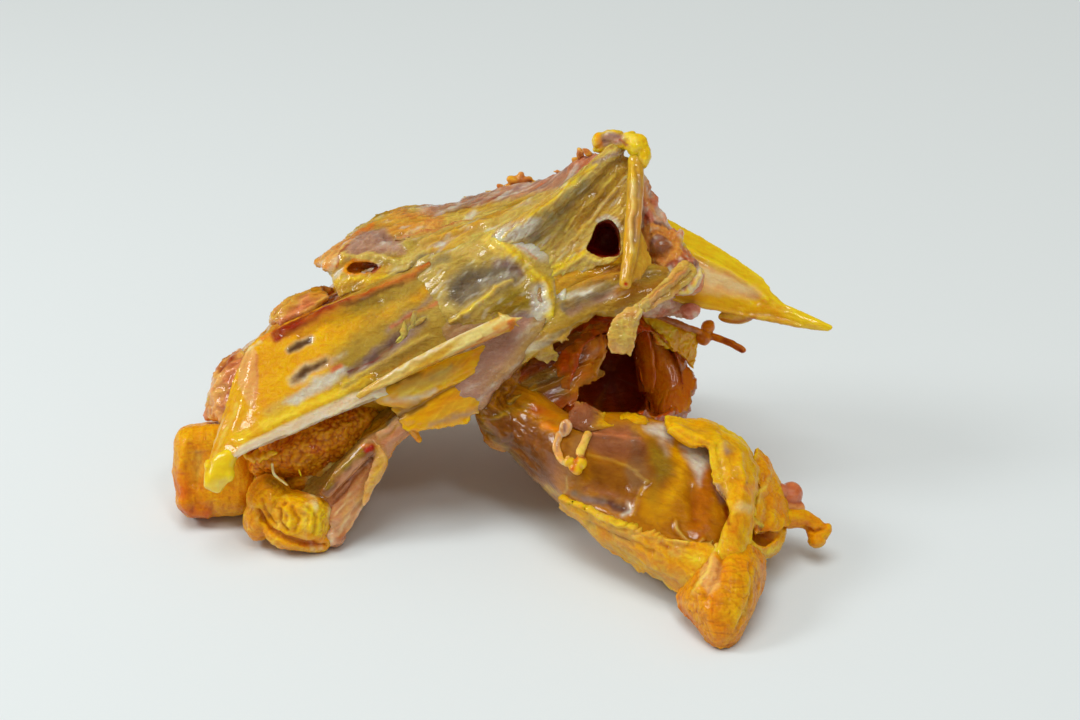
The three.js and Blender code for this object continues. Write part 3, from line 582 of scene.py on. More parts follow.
class Flesh:
    """One piece of the carcass. Its points and tones are arrays until it is done."""

    def __init__(self, name, forms, voxel=0.65, cuts=(), smoothing=5, seed=1, grain=RIGHT):
        self.piece = mesh_object(name, forms)
        self.seed = seed
        self.grain = grain
        if voxel:
            modify(self.piece, "REMESH", mode="VOXEL", voxel_size=voxel * MM)
            modify(self.piece, "SMOOTH", factor=0.5, iterations=smoothing)
            apply_modifiers(self.piece)
        if cuts:
            cutters = [mesh_object("cutter", [cut]) for cut in cuts]
            for cutter in cutters:
                modify(self.piece, "BOOLEAN", operation="DIFFERENCE", solver="MANIFOLD", object=cutter)
            modify(self.piece, "SMOOTH", factor=0.5, iterations=CUT_SMOOTHING)
            apply_modifiers(self.piece)
            for cutter in cutters:
                bpy.data.objects.remove(cutter)
        self.points = self.read(self.piece.data.vertices, "co")
        edges = np.empty(len(self.piece.data.edges) * 2, np.int64)
        self.piece.data.edges.foreach_get("vertices", edges)
        self.starts, self.ends = edges.reshape(-1, 2).T
        self.joins = np.bincount(edges, minlength=len(self.points))[:, None]
        self.first = self.points.copy()
        self.view = seen(self.first)
        self.wander = np.stack([self.drift(axis) for axis in (ACROSS, DOWN)], -1)
        self.tone = np.ones((len(self.points), 3))
        self.look()

    @staticmethod
    def read(vectors, what):
        values = np.empty(len(vectors) * 3)
        vectors.foreach_get(what, values)
        return values.reshape(-1, 3)

    def drift(self, axis):
        """Steps by which paths and outlines stray on this piece, so that no edge is drawn straight."""
        start = self.seed + axis
        return sum(noise(self.first, size, start + offset) * reach for size, reach, offset in WANDERS)

    def look(self):
        """Moves the mesh to the points, and takes its normals and how much each point faces the viewer."""
        self.piece.data.vertices.foreach_set("co", self.points.ravel())
        self.piece.data.update()
        self.normals = self.read(self.piece.data.vertex_normals, "vector")
        self.facing = self.normals @ NEAR

    def clouds(self, size, seed, stretch, grain):
        """Noise drawn out along a grain, which is the piece's own one unless another is given."""
        return noise(self.first, size, seed, self.grain if grain is None else grain, stretch)

    def knead(self, coarse, fine):
        """Coarse clouds and fine folds, each as height, size and stretch."""
        self.rumple(coarse[0], coarse[1], 1, *coarse[2:])
        self.rumple(fine[0], fine[1], 2, *fine[2:], folded=True)

    def side_weight(self, side):
        """1 on the side that faces the viewer and 0 on the other, or the other way, or 1 all over."""
        front = ease((self.facing - FRONT_START) / FRONT_SOFTNESS)
        return {"front": front, "back": 1 - front, "all": np.ones_like(front)}[side]

    def distance(self, path, loose=1.0):
        """Steps from each point to a path on the view, less the path's own half width there."""
        place = self.view[:, :2] + self.wander * loose
        best = np.full(len(place), 1e9)
        path = [tuple(point) + (0,) * (3 - len(point)) for point in path]
        for a, b in zip(path, path[1:] or path):
            arm = np.subtract(b[:2], a[:2])
            share = np.clip((place - a[:2]) @ arm / max(arm @ arm, 1e-9), 0, 1)
            away = np.linalg.norm(place - a[:2] - share[:, None] * arm, axis=1)
            gap = away - (a[2] + (b[2] - a[2]) * share)
            best = np.minimum(best, gap)
        return best

    def inside(self, outline, loose=1.0):
        """Steps from each point to an outline on the view, above 0 inside it."""
        place = self.view[:, :2] + self.wander * loose
        gap = self.distance(list(outline) + [outline[0]], loose)
        within = np.zeros(len(place), bool)
        for (ax, ay), (bx, by) in zip(outline, outline[1:] + outline[:1]):
            crosses = (ay > place[:, 1]) != (by > place[:, 1])
            across = ax + (place[:, 1] - ay) / (by - ay if by != ay else 1e-9) * (bx - ax)
            within ^= crosses & (place[:, 0] < across)
        return np.where(within, gap, -gap)

    def within(self, outline, soft, loose=0.2):
        """1 inside an outline on the view and 0 outside it, with a soft edge."""
        return ease(self.inside(outline, loose) / soft + 0.5)

    def around(self, path, reach):
        """1 on a path on the view, and 0 beyond its reach."""
        return ease(1 - self.distance(path) / reach)

    def past(self, axis, start, soft):
        """0 up to a place across or down the view, then rising to 1. Below 0, soft turns it round."""
        return ease((self.view[:, axis] - start) / soft)

    def lay(self, tone, weight):
        """Covers the piece with a tone, as much as the weight says at each point."""
        colour = (np.array(TONES[tone]) / 255) ** GAMMA
        weight = np.clip(weight, 0, 1)[:, None]
        self.tone = self.tone * (1 - weight) + colour * weight

    def fill(self, tone, side="all"):
        self.lay(tone, self.side_weight(side))

    def strokes(self, *marks):
        """Paint marks one after another, each given as for stroke."""
        for mark in marks:
            self.stroke(*mark)

    def stroke(self, tone, width, path, soft=4, strength=1.0, side="front", loose=1.0):
        """A tone along a path, as wide on each side as its width in steps, and broken here and there."""
        gap = self.distance(path, loose)
        gaps = ease(noise(self.first, STROKE_BREAK_SIZE, self.seed * 13 + len(tone)) + 0.3)
        broken = 1 - STROKE_BREAK * gaps
        edge = ease((width - gap) / (soft * STROKE_SOFTNESS) + 0.5)
        self.lay(tone, strength * broken * edge * self.side_weight(side))

    def patch(self, tone, outline, soft=5, strength=1.0, side="front", loose=1.0):
        """A tone inside an outline on the view."""
        self.lay(tone, strength * self.within(outline, soft, loose) * self.side_weight(side))

    def mottles(self, *marks):
        for mark in marks:
            self.mottle(*mark)

    def mottle(
        self, tone, size, share=0.4, strength=0.6, seed=0, stretch=1.0, side="all", within=None, grain=None,
    ):
        """Clouds of a tone, of so many millimetres, over a share of the surface."""
        value = self.clouds(size, self.seed * 31 + seed, stretch, grain)
        weight = strength * ease((value - (1 - 2 * share)) / MOTTLE_SOFTNESS + 0.5) * self.side_weight(side)
        self.lay(tone, weight if within is None else weight * within)

    def blur(self, values, times):
        """Values shared out between neighbouring points, so many times."""
        for _ in range(times):
            total = np.zeros_like(values)
            for here, there in ((self.starts, self.ends), (self.ends, self.starts)):
                for i in range(values.shape[1]):
                    total[:, i] += np.bincount(here, values[there, i], len(values))
            values = (values + total / self.joins) / 2
        return values

    def meld(self, times, path, width):
        """Smooths away the steps between forms along a path on the view."""
        weight = ease((width - self.distance(path, 0)) / MELD_SOFTNESS + 0.5) * self.side_weight("front")
        weight = weight[:, None]
        self.points = self.points * (1 - weight) + self.blur(self.points, times) * weight
        self.look()

    def paint_hollow_shade_and_crest_light(self, depth=1.0, times=10):
        """Paints shade into every hollow and light onto every crest, as deeper and paler tone."""
        self.look()
        crest = ((self.points - self.blur(self.points, times)) * self.normals).sum(1) / CREST_HEIGHT
        crest = np.clip(crest, *CREST_RANGE)[:, None] * depth
        self.tone = np.clip(self.tone * (1 + crest * HOLLOW_SHADE_CREST_LIGHT), 0, 1)

    def move(self, height):
        """Moves each point out along its normal by so many millimetres."""
        self.points = self.points + self.normals * (height * MM)[:, None]

    def ridges(self, *forms):
        for form in forms:
            self.ridge(*form)

    def ridge(self, height, width, path, side="front", loose=0.6):
        """A ridge along a path on the view, or a groove where the height is below 0."""
        gap = np.maximum(self.distance(path, loose), 0)
        self.move(height * np.exp(-((gap / width) ** 2)) * self.side_weight(side))

    def rumple(self, height, size, seed=0, stretch=1.0, side="all", within=None, folded=False, grain=None):
        """Lifts and sinks the surface in clouds of so many millimetres. Folded ones have sharp crests."""
        value = self.clouds(size, self.seed * 17 + seed, stretch, grain)
        if folded:
            value = 1 - 2 * np.sqrt(np.abs(value))
        weight = self.side_weight(side)
        self.move(height * value * (weight if within is None else weight * within))

    def pimples(self, height, size, seed):
        """Raised spots, each at its own place in a cell of so many millimetres."""
        scaled = self.first / (size * MM)
        low = np.floor(scaled)
        nearest = np.full(len(scaled), 9.0)
        for step in np.ndindex(3, 3, 3):
            cell = low + step - 1
            drift = np.stack([lattice(cell, self.seed * 7 + seed + i) for i in range(3)], -1)
            spot = cell + 0.5 + PIMPLE_DRIFT * drift
            nearest = np.minimum(nearest, ((scaled - spot) ** 2).sum(1))
        self.move(height * (0.5 - np.minimum(nearest, 1.0)) * 2)
        return ease(1 - nearest * PIMPLE_TIGHTNESS)

    def crease_and_shade(self, depth, size, tone, strength=0.4, seed=0, stretch=1.0, within=1.0, grain=None):
        """Fine wrinkles: narrow lines sunk into the surface, with painted shade along them."""
        value = self.clouds(size, self.seed * 23 + seed, stretch, grain)
        line = np.exp(-((value / CREASE_WIDTH) ** 2)) * within
        self.move(-depth * line)
        self.lay(tone, strength * line)

    def thin(self, share):
        """Leaves this share of the triangles, and takes most of the rest from the far side."""
        group = self.piece.vertex_groups.new(name="far")
        far = self.facing < FAR_SIDE
        group.add(np.flatnonzero(far).tolist(), 1.0, "REPLACE")
        group.add(np.flatnonzero(~far).tolist(), NEAR_SIDE_THINNING, "REPLACE")
        modify(self.piece, "DECIMATE", ratio=share, vertex_group="far")
        apply_modifiers(self.piece)

    def done(self, material, depth=1.0, share=0.57):
        """Ends the work on a piece: stores its tones, thins its mesh and puts it in the part's place."""
        # Painted shade in the hollows and painted light on the crests, as strong as depth says.
        self.paint_hollow_shade_and_crest_light(depth)
        low = FLOOR_CLEARANCE - self.points[:, 2]
        self.points[:, 2] += np.maximum(low, 0)
        self.look()
        layer = self.piece.data.attributes.new("tone", "FLOAT_COLOR", "POINT")
        layer.data.foreach_set("color", np.column_stack([self.tone, np.ones(len(self.tone))]).ravel())
        self.thin(share)
        mesh = self.piece.data
        mesh.polygons.foreach_set("use_smooth", [True] * len(mesh.polygons))
        mesh.materials.clear()
        mesh.materials.append(material)
        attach(self.piece, "root")
        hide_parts("carcass")


FIBRE_SCALE = (220, 900, 900)
FLECK_SCALE = (800, 800, 800)
BLOTCH_SCALE = (140, 220, 220)
BLOTCH_TINT = 0.4
NOISE_DETAIL = {"Scale": 1.0, "Detail": 3.0, "Roughness": 0.62}
NOISE_RANGE = (0.3, 0.7)
DEEP_TINT = (0.36, 0.27, 0.22, 1)
PALE_TINT = (0.64, 0.68, 0.7, 1)
RELIEF = 1.2 * MM
FILM_RELIEF = 0.8 * MM
FILM_SHARE = 0.22
WET_FLESH = {
    "Subsurface Radius": (1.0, 0.45, 0.15), "Subsurface Scale": 2.5 * MM, "Coat Roughness": 0.07,
    "Specular IOR Level": 0.35, "IOR": 1.42,
}


def material(name, grain, roughness, scatter, coat=0.4, bump=0.5, fleck=0.3, streak=0.16):
    """Wet flesh: its painted tone under a clear film, with fibres along the grain, flecks and blotches."""
    look = bpy.data.materials.new(name)
    look.use_nodes = True
    tree = look.node_tree
    shader = tree.nodes["Principled BSDF"]
    link = tree.links.new

    def add(kind, **values):
        made = tree.nodes.new("ShaderNode" + kind)
        for key, value in values.items():
            setattr(made, key, value)
        return made

    def texture(scale, turned):
        mapping = add("Mapping")
        mapping.inputs["Scale"].default_value = scale
        if turned:
            aligned = Vector(grain).rotation_difference(Vector((1, 0, 0)))
            mapping.inputs["Rotation"].default_value = aligned.to_euler()
        link(place.outputs["Object"], mapping.inputs["Vector"])
        cloud = add("TexNoise")
        for socket, amount in NOISE_DETAIL.items():
            cloud.inputs[socket].default_value = amount
        link(mapping.outputs["Vector"], cloud.inputs["Vector"])
        return cloud.outputs["Fac"]

    def half(value):
        product = add("Math", operation="MULTIPLY")
        link(value, product.inputs[0])
        product.inputs[1].default_value = 0.5
        return product.outputs["Value"]

    def tinted(colour, value, amount):
        """Deeper and redder where the noise is low, paler where it is high."""
        ranged = add("MapRange")
        ranged.inputs["From Min"].default_value, ranged.inputs["From Max"].default_value = NOISE_RANGE
        link(value, ranged.inputs["Value"])
        tint = add("Mix", data_type="RGBA")
        tint.inputs["A"].default_value = DEEP_TINT
        tint.inputs["B"].default_value = PALE_TINT
        link(ranged.outputs["Result"], tint.inputs["Factor"])
        mix = add("Mix", data_type="RGBA", blend_type="OVERLAY")
        mix.inputs["Factor"].default_value = amount
        link(colour, mix.inputs["A"])
        link(tint.outputs["Result"], mix.inputs["B"])
        return mix.outputs["Result"]

    place = add("TexCoord")
    tone = add("Attribute", attribute_name="tone")
    fibres = texture(FIBRE_SCALE, True)
    flecks = texture(FLECK_SCALE, False)
    colour = tinted(tone.outputs["Color"], fibres, streak)
    colour = tinted(colour, flecks, fleck)
    colour = tinted(colour, texture(BLOTCH_SCALE, True), BLOTCH_TINT)
    link(colour, shader.inputs["Base Color"])

    height = add("Math", operation="ADD")
    link(half(flecks), height.inputs[0])
    link(half(fibres), height.inputs[1])
    reliefs = (("Normal", bump, RELIEF), ("Coat Normal", FILM_SHARE * bump, FILM_RELIEF))
    for normal, strength, distance in reliefs:
        relief = add("Bump")
        relief.inputs["Strength"].default_value = strength
        relief.inputs["Distance"].default_value = distance
        link(height.outputs["Value"], relief.inputs["Height"])
        link(relief.outputs["Normal"], shader.inputs[normal])

    constants = {"Roughness": roughness, "Subsurface Weight": scatter, "Coat Weight": coat} | WET_FLESH
    for socket, value in constants.items():
        shader.inputs[socket].default_value = value
    return look


FLOOR_SIZE = 40.0
PAPER = {"Base Color": (0.75, 0.795, 0.81, 1), "Roughness": 0.7, "Specular IOR Level": 0.2}
ROOM_LIGHT = {"Color": (1.0, 0.92, 0.82, 1), "Strength": 0.36}
# Each lamp's name, kind, place, size (degrees for the sun, metres for the others), power and colour.
LAMPS = [
    ("daylight", "SUN", (-0.1, -0.1, 1.0), 40, 1.42, (0.94, 0.99, 1.0)),
    ("softbox_left", "AREA", (-0.8, -0.1, 0.7), 0.3, 3.4, (0.95, 0.99, 1.0)),
    ("window", "AREA", (0.25, -0.5, 0.8), 0.16, 0.9, (0.97, 0.99, 1.0)),
]


def stage():
    """A pale floor, a soft light overhead and the camera of the photograph."""
    scene = bpy.context.scene
    scene.view_settings.view_transform = "Standard"
    scene.view_settings.look = "None"
    bpy.ops.mesh.primitive_plane_add(size=FLOOR_SIZE, location=(0, 0, 0))
    floor = bpy.context.active_object
    floor.name = "floor"
    paper = bpy.data.materials.new("paper")
    paper.use_nodes = True
    for socket, value in PAPER.items():
        paper.node_tree.nodes["Principled BSDF"].inputs[socket].default_value = value
    floor.data.materials.append(paper)

    world = bpy.data.worlds.new("studio")
    world.use_nodes = True
    for socket, value in ROOM_LIGHT.items():
        world.node_tree.nodes["Background"].inputs[socket].default_value = value
    world.cycles_visibility.glossy = False
    scene.world = world
    for name, kind, place, size, power, tint in LAMPS:
        lamp = bpy.data.lights.new(name, kind)
        if kind == "SUN":
            lamp.angle = math.radians(size)
        else:
            lamp.size = size
        lamp.energy = power
        lamp.color = tint
        holder = bpy.data.objects.new(name, lamp)
        holder.visible_glossy = kind != "SUN"
        holder.location = place
        holder.rotation_euler = (Vector(AIM) - Vector(place)).to_track_quat("-Z", "Y").to_euler()
        scene.collection.objects.link(holder)

    lens = bpy.data.cameras.new("camera")
    lens.sensor_width = SENSOR_WIDTH
    lens.lens = SENSOR_WIDTH * EYE_DISTANCE / (VIEW_WIDTH * STEP)
    camera = bpy.data.objects.new("camera", lens)
    camera.location = Vector(AIM + NEAR * EYE_DISTANCE)
    camera.rotation_euler = Vector(-NEAR).to_track_quat("-Z", "Y").to_euler()
    scene.collection.objects.link(camera)
    scene.camera = camera


UPPER_GRAIN = run((209, 480, 12), (480, 280, -1))
PELVIS_GRAIN = run((500, 410, -4), (700, 520, 28))
BLADE_GRAIN = run((662, 255, -14), (828, 328, -15))
TAIL_GRAIN = run((715, 560, 40), (722, 642, 46))
STRIP_GRAIN = run((448, 410, 0), (325, 520, 0))
BAND_GRAIN = run((540, 330, 4), (650, 275, 1))
KEEL_GRAIN = run((520, 262, 1), (620, 155, -2))

MEMBRANE = material("wet_membrane", UPPER_GRAIN, roughness=0.3, scatter=0.4, coat=0.9, bump=0.8)
KEEL_SKIN = material("keel_membrane", KEEL_GRAIN, roughness=0.255, scatter=0.4, coat=1.0, bump=0.9)
WAXY = material("cartilage", UPPER_GRAIN, roughness=0.325, scatter=0.45, coat=0.6, bump=0.3, fleck=0.15)
BLADE_WAX = material("blade_cartilage", BLADE_GRAIN, roughness=0.325, scatter=0.45, coat=0.6, bump=0.3,
    fleck=0.15)
MEAT = material("raw_meat", UPPER_GRAIN, roughness=0.275, scatter=0.35, coat=0.8, bump=0.7, streak=0.4)
BONE = material("bone_end", UPPER_GRAIN, roughness=0.375, scatter=0.2, bump=0.3, streak=0.3)
SKIN = material("chicken_skin", TAIL_GRAIN, roughness=0.425, scatter=0.5, coat=0.25, bump=0.6, streak=0.16)
PELVIS_SKIN = material("pelvis_membrane", PELVIS_GRAIN, roughness=0.29, scatter=0.45, coat=0.7, bump=0.35,
    fleck=0.2)
STRIP_SKIN = material("leg_membrane", STRIP_GRAIN, roughness=0.26, scatter=0.4, coat=1.0, bump=0.8)


def rib_cage():
    """The far side of the rib cage, most of which the photograph doesn't show."""
    piece = Flesh("rib_cage", [body(RIB_CAGE, ribs=6)], 0.9, cuts=[bore(KEEL_TEAR, 12, -16)], smoothing=4,
        seed=1, grain=UPPER_GRAIN)
    piece.knead((0.7, 9, 2.5), (0.35, 3.5, 2))
    piece.fill("meat")
    piece.mottles(
        ("coral", 7, 0.5, 0.7, 4, 2.5),
        ("straw", 11, 0.4, 0.7, 1, 3),
        ("salmon", 6, 0.3, 0.5, 2, 3),
    )
    piece.crease_and_shade(0.2, 4, "rust", 0.35, 3, 4)
    piece.mottle("pearl", 7, 0.12, 0.5, 3, 3)
    piece.fill("gold", "front")
    piece.mottle("honey", 6, 0.4, 0.6, 5, 3, "front")
    piece.patch("peach", [(205, 430), (215, 395), (232, 360), (262, 330), (268, 350), (240, 400),
        (225, 440)], 6, 0.9, "all")
    piece.patch("coral", [(270, 335), (290, 305), (330, 290), (345, 298), (300, 322), (280, 345)], 6, 0.8,
        "all")
    piece.stroke("umber", 2, [(231, 398), (236, 406)], 3, 0.8, "all")
    # Painted shade: blood red on the walls of the hole where the keel's tear cuts the rib cage.
    piece.lay("blood", piece.within(KEEL_TEAR, 2))
    for start in range(286, 530, 36):
        rib = [(start, 262), (start + 12, 330), (start + 18, 410)]
        piece.ridge(1.1, 5, rib, "back")
        piece.stroke("pearl", 1.5, rib, 8, 0.45, "back")
    piece.done(MEMBRANE, share=0.5)


def breastbone_plate():
    """The flat of the breastbone: yellow, with clear windows, a blood line above and a pale cut below."""
    piece = Flesh("breastbone_plate", [sheet(PLATE, 3, along=270, across=92, ragged=0.3)], None, seed=2,
        grain=UPPER_GRAIN)
    piece.knead((0.45, 12, 2.5), (0.08, 2.2, 3))
    piece.ridges(
        (1.3, 3.5, [(284, 332), (313, 318), (346, 303), (386, 287), (430, 267)]),
        (-0.9, 4, [(300, 336), (340, 316), (380, 300)]),
        (-0.7, 4, [(292, 350), (308, 341)]),
        (-0.7, 4, [(296, 379), (324, 364)]),
        (-1.2, 5, [(352, 372), (380, 352), (402, 336)]),
        (0.9, 3, [(343, 384), (372, 368), (404, 350), (430, 336)]),
        (0.6, 5, [(256, 350), (243, 400), (226, 450)]),
        (0.7, 5, [(236, 442), (300, 412), (372, 380)]),
        (-1.2, 5, [(232, 466), (262, 450), (316, 427), (376, 402)]),
    )
    middle = piece.side_weight("front") * piece.past(ACROSS, 318, 30)
    piece.fill("yolk")
    piece.stroke("tangerine", 6, [(268, 352), (260, 385), (264, 412)], 16, 0.3)
    piece.lay("dusk", middle)
    piece.mottle("straw", 8, 0.35, 0.5, 5, 3, "front", middle)
    piece.mottle("olive", 7, 0.3, 0.45, 6, 4, "front", middle)
    piece.patch("yolk", [(268, 352), (300, 318), (345, 310), (370, 312), (345, 340), (325, 352),
        (290, 372)], 16, 0.85)
    piece.strokes(
        ("yolk", 6, [(340, 338), (380, 318), (430, 290)], 14, 0.75),
        ("olive", 3, [(330, 326), (380, 304), (430, 278)], 8, 0.5),
        ("yolk", 8, [(256, 400), (262, 430)], 14, 0.8),
        ("lemon", 7, [(242, 438), (300, 408), (368, 376)], 9, 1.0),
        ("butter", 2, [(250, 434), (300, 409), (352, 385)], 7, 0.4),
        ("straw", 5, [(268, 412), (288, 400), (336, 374)], 8, 0.6),
    )
    piece.patch("mist", [(284, 402), (306, 384), (344, 366), (352, 370), (330, 384), (296, 404)], 7, 0.9)
    piece.stroke("mist", 1.2, [(300, 381), (326, 366), (344, 354)], 6, 0.6)
    piece.patch("peach", [(240, 356), (254, 344), (259, 352), (257, 382), (255, 411), (247, 402),
        (239, 385)], 3, 0.95)
    piece.strokes(
        ("cream", 1, [(240, 358), (254, 346), (262, 340)], 3, 0.7),
        ("salmon", 1, [(258, 356), (257, 384), (254, 408)], 2.5, 0.7, "front", 0.4),
        ("butter", 1.2, [(236, 404), (222, 440), (209, 470)], 3, 0.8, "all"),
    )
    cut = [(224, 464), (241, 446), (274, 431), (308, 414), (351, 395), (384, 386), (396, 400), (340, 424),
        (236, 470)]
    piece.patch("shell", cut, 3.5, 1.0, "all", 0.3)
    piece.strokes(
        ("peach", 2, [(252, 454), (286, 440), (316, 427)], 5, 0.35, "all"),
        ("cream", 1, [(243, 446), (274, 431), (308, 414), (351, 395), (388, 384)], 2, 0.8, "front", 0.3),
        ("straw", 3, [(340, 416), (372, 402)], 6, 0.5),
    )
    upper_window = [(291, 351, 1.5), (300, 346, 3.4), (309, 340, 2.5)]
    lower_window = [(292, 382, 0.5), (305, 374, 2.6), (326, 361, 1)]
    for window in (upper_window, lower_window):
        piece.stroke("mist", 3.4, window, 5, 0.5)
        piece.stroke("slate", 1.2, window, 5, 0.95, loose=0.7)
        piece.stroke("umber", -1, window, 4, 0.5, loose=0.7)
    piece.strokes(
        ("salmon", 3, [(333, 370), (341, 366)], 3, 1.0),
        ("lilac", 4, [(350, 374, 0), (376, 355, 4), (403, 338, 3), (424, 322, 0)], 7, 0.9),
        ("slate", 2, [(356, 370, 0), (378, 355, 2), (398, 341, 1)], 5, 0.7),
    )
    streak = piece.around([(350, 372), (400, 338)], 12)
    piece.mottle("mist", 1.6, 0.25, 0.6, 6, 4, "front", streak)
    piece.strokes(
        ("brick", 0.6, [(348, 372), (372, 361), (392, 346)], 2, 0.9),
        ("straw", 2.5, [(344, 386), (372, 371), (404, 352), (432, 338)], 5, 0.9),
        ("amber", 1, [(350, 390), (380, 374), (420, 352)], 3, 0.7),
        ("lilac", 2, [(386, 334), (410, 314), (432, 298)], 6, 0.8),
        ("salmon", 1.6, [(390, 330), (408, 318), (438, 302)], 3.5, 1.0),
        ("brick", 0.5, [(394, 328), (420, 310)], 1.5, 0.8),
        ("coral", 3.4, [(276, 335, 4), (346, 303, 1), (440, 262, 1)], 5, 0.6),
        ("rust", 1.6, [(276, 335, 4), (290, 327, 2.5), (313, 318, 1.5), (346, 303, 0.2), (386, 287, 0.4),
            (440, 262, 1)], 4, 0.95),
        ("brick", 2.4, [(277, 335, 3), (292, 326, 2), (318, 315, 0.5), (352, 302, 0)], 3, 1.0),
        ("umber", 0.8, [(342, 308), (372, 297), (402, 283)], 2.5, 0.7),
        ("coral", 1.5, [(262, 336), (283, 320), (300, 314)], 4, 0.8, "all"),
    )
    piece.crease_and_shade(0.06, 2.2, "dusk", 0.2, 3, 6, middle)
    piece.done(MEMBRANE)


def plate_nub():
    """The lemon nub of fat that hangs from the plate's low corner."""
    nub = [(230, 456, 13, 2.6, 2), (223, 465, 13, 4.2, 2.4), (216, 477, 13, 4.4, 2.4),
        (213, 486, 13, 3, 1.9)]
    forms = [limb(nub), lump((228, 474, 13), (2.2, 2.6, 2)), lump((208, 466, 13), (1.6, 2.4, 1.8))]
    piece = Flesh("plate_nub", forms, 0.34, smoothing=5, seed=37)
    piece.rumple(0.5, 4, 1)
    piece.fill("lemon")
    piece.stroke("butter", 5, [(214, 486), (222, 487)], 9, 0.9, "all")
    piece.stroke("lemon", 3, [(226, 462), (230, 480)], 5, 0.9, "all")
    piece.done(WAXY)


def plate_rags():
    """Torn rags of membrane in the middle of the plate."""
    forms = tatters([(398, 340, 3), (410, 329, 3), (426, 317, 2.5)], 5, 12, 3, (0.3, -0.3), 0.8)
    piece = Flesh("plate_rags", forms, None, seed=31)
    piece.rumple(0.5, 3, 1)
    piece.fill("straw")
    piece.mottle("butter", 2.5, 0.4, 0.7, 1)
    piece.done(MEMBRANE, share=0.9)


def upper_lobe():
    """The far lobe: purple-grey and orange over dark meat, with an orange tip and a slit."""
    forms = [sheet(FAR_LOBE, 4, back=14, ragged=1.3), sheet(CROWN, 3, ragged=0.5)]
    piece = Flesh("upper_lobe", forms, 0.48, cuts=[bore(LOBE_TEAR, 4, -14)], smoothing=3, seed=3,
        grain=UPPER_GRAIN)
    piece.knead((0.6, 6, 2.5), (0.3, 2.2, 2))
    piece.ridges(
        (0.9, 3, [(346, 257), (372, 255), (396, 260)]),
        (-1.2, 4, [(388, 238), (430, 228), (470, 217)]),
        (0.9, 3, [(420, 242), (455, 232), (490, 222)]),
        (-0.8, 3, [(404, 274), (424, 263), (446, 256)]),
    )
    above_slope = 220 - piece.view[:, DOWN] - (piece.view[:, ACROSS] - 420) * 0.2
    meaty = ease(above_slope / 8) * piece.past(ACROSS, 412, 20)
    piece.fill("straw")
    piece.fill("meat", "back")
    piece.mottle("gold", 6, 0.45, 0.7, 1, 3, "front")
    piece.mottle("olive", 5, 0.25, 0.5, 3, 3, "front")
    piece.lay("mauve", meaty * 0.9)
    piece.mottles(
        ("salmon", 5, 0.45, 0.8, 2, 3, "all", meaty),
        ("lilac", 4, 0.3, 0.7, 4, 3, "all", meaty),
        ("pearl", 3, 0.3, 0.6, 5, 3, "all", meaty),
    )
    piece.stroke("brick", 1, [(430, 213), (462, 207), (500, 197)], 3, 0.7)
    piece.patch("apricot", [(378, 228), (392, 212), (420, 210), (446, 214), (436, 228), (404, 232)], 9, 0.7)
    piece.stroke("honey", 3, [(386, 222), (420, 218)], 8, 0.7)
    piece.stroke("meat", 1, [(404, 212), (424, 222), (440, 221)], 4, 0.7)
    piece.patch("mauve", [(346, 251), (350, 238), (364, 228), (384, 227), (398, 238), (404, 250),
        (385, 255), (355, 256)], 9, 0.9)
    piece.stroke("lilac", 3, [(356, 246), (372, 236), (390, 240)], 8, 0.6)
    film = piece.around([(360, 246), (390, 240)], 14)
    piece.mottle("mist", 2.6, 0.3, 0.6, 8, 2, "front", film)
    piece.patch("peach", [(308, 262), (322, 248), (345, 236), (352, 238), (343, 252), (335, 264),
        (320, 270)], 5, 0.9, "all")
    piece.strokes(
        ("tangerine", 2, [(312, 262), (326, 266), (338, 262)], 5, 0.7, "all"),
        ("coral", 1.6, [(336, 250), (352, 236), (372, 224)], 3, 0.9, "all"),
        ("brick", 1, [(336, 264), (342, 254), (350, 245)], 2.5, 0.9),
        ("straw", 2.4, [(350, 257), (374, 255), (398, 262)], 3, 0.95),
        ("lemon", 3, [(338, 281), (354, 279), (384, 275)], 4, 0.85),
    )
    slit = piece.within(LOBE_TEAR, 2)
    piece.lay("tangerine", slit)
    piece.lay("brick", slit * piece.past(ACROSS, 364, 10))
    piece.stroke("mist", 2.5, [(436, 246), (444, 243)], 2, 1.0)
    piece.stroke("smoke", 4, [(402, 274, 1), (422, 264, 4), (440, 258, 2)], 5, 0.9)
    piece.mottle("mist", 2.2, 0.16, 0.6, 7, 3, "front")
    piece.done(MEMBRANE)


def crest_fat():
    """Crumbs and rags of fat and meat along the crest."""
    forms = crumbs(CREST_FAT, 11, 2, 4, 3) + crumbs(CREST_BITS, 8, 1.5, 5, 2.5)
    forms += tatters([(450, 203, -34), (500, 190, -33), (545, 181, -30)], 4, 6, 6, (-0.5, -0.35), 1.2)
    piece = Flesh("crest_fat", forms, 0.36, smoothing=2, seed=28)
    piece.rumple(0.4, 1.8, 1)
    piece.fill("peach")
    piece.mottle("yolk", 2.5, 0.5, 0.8, 1)
    piece.patch("yolk", [(498, 174), (534, 174), (534, 200), (498, 200)], 5, 0.6, "all")
    piece.mottle("meat", 3, 0.35, 0.8, 2)
    piece.done(WAXY)


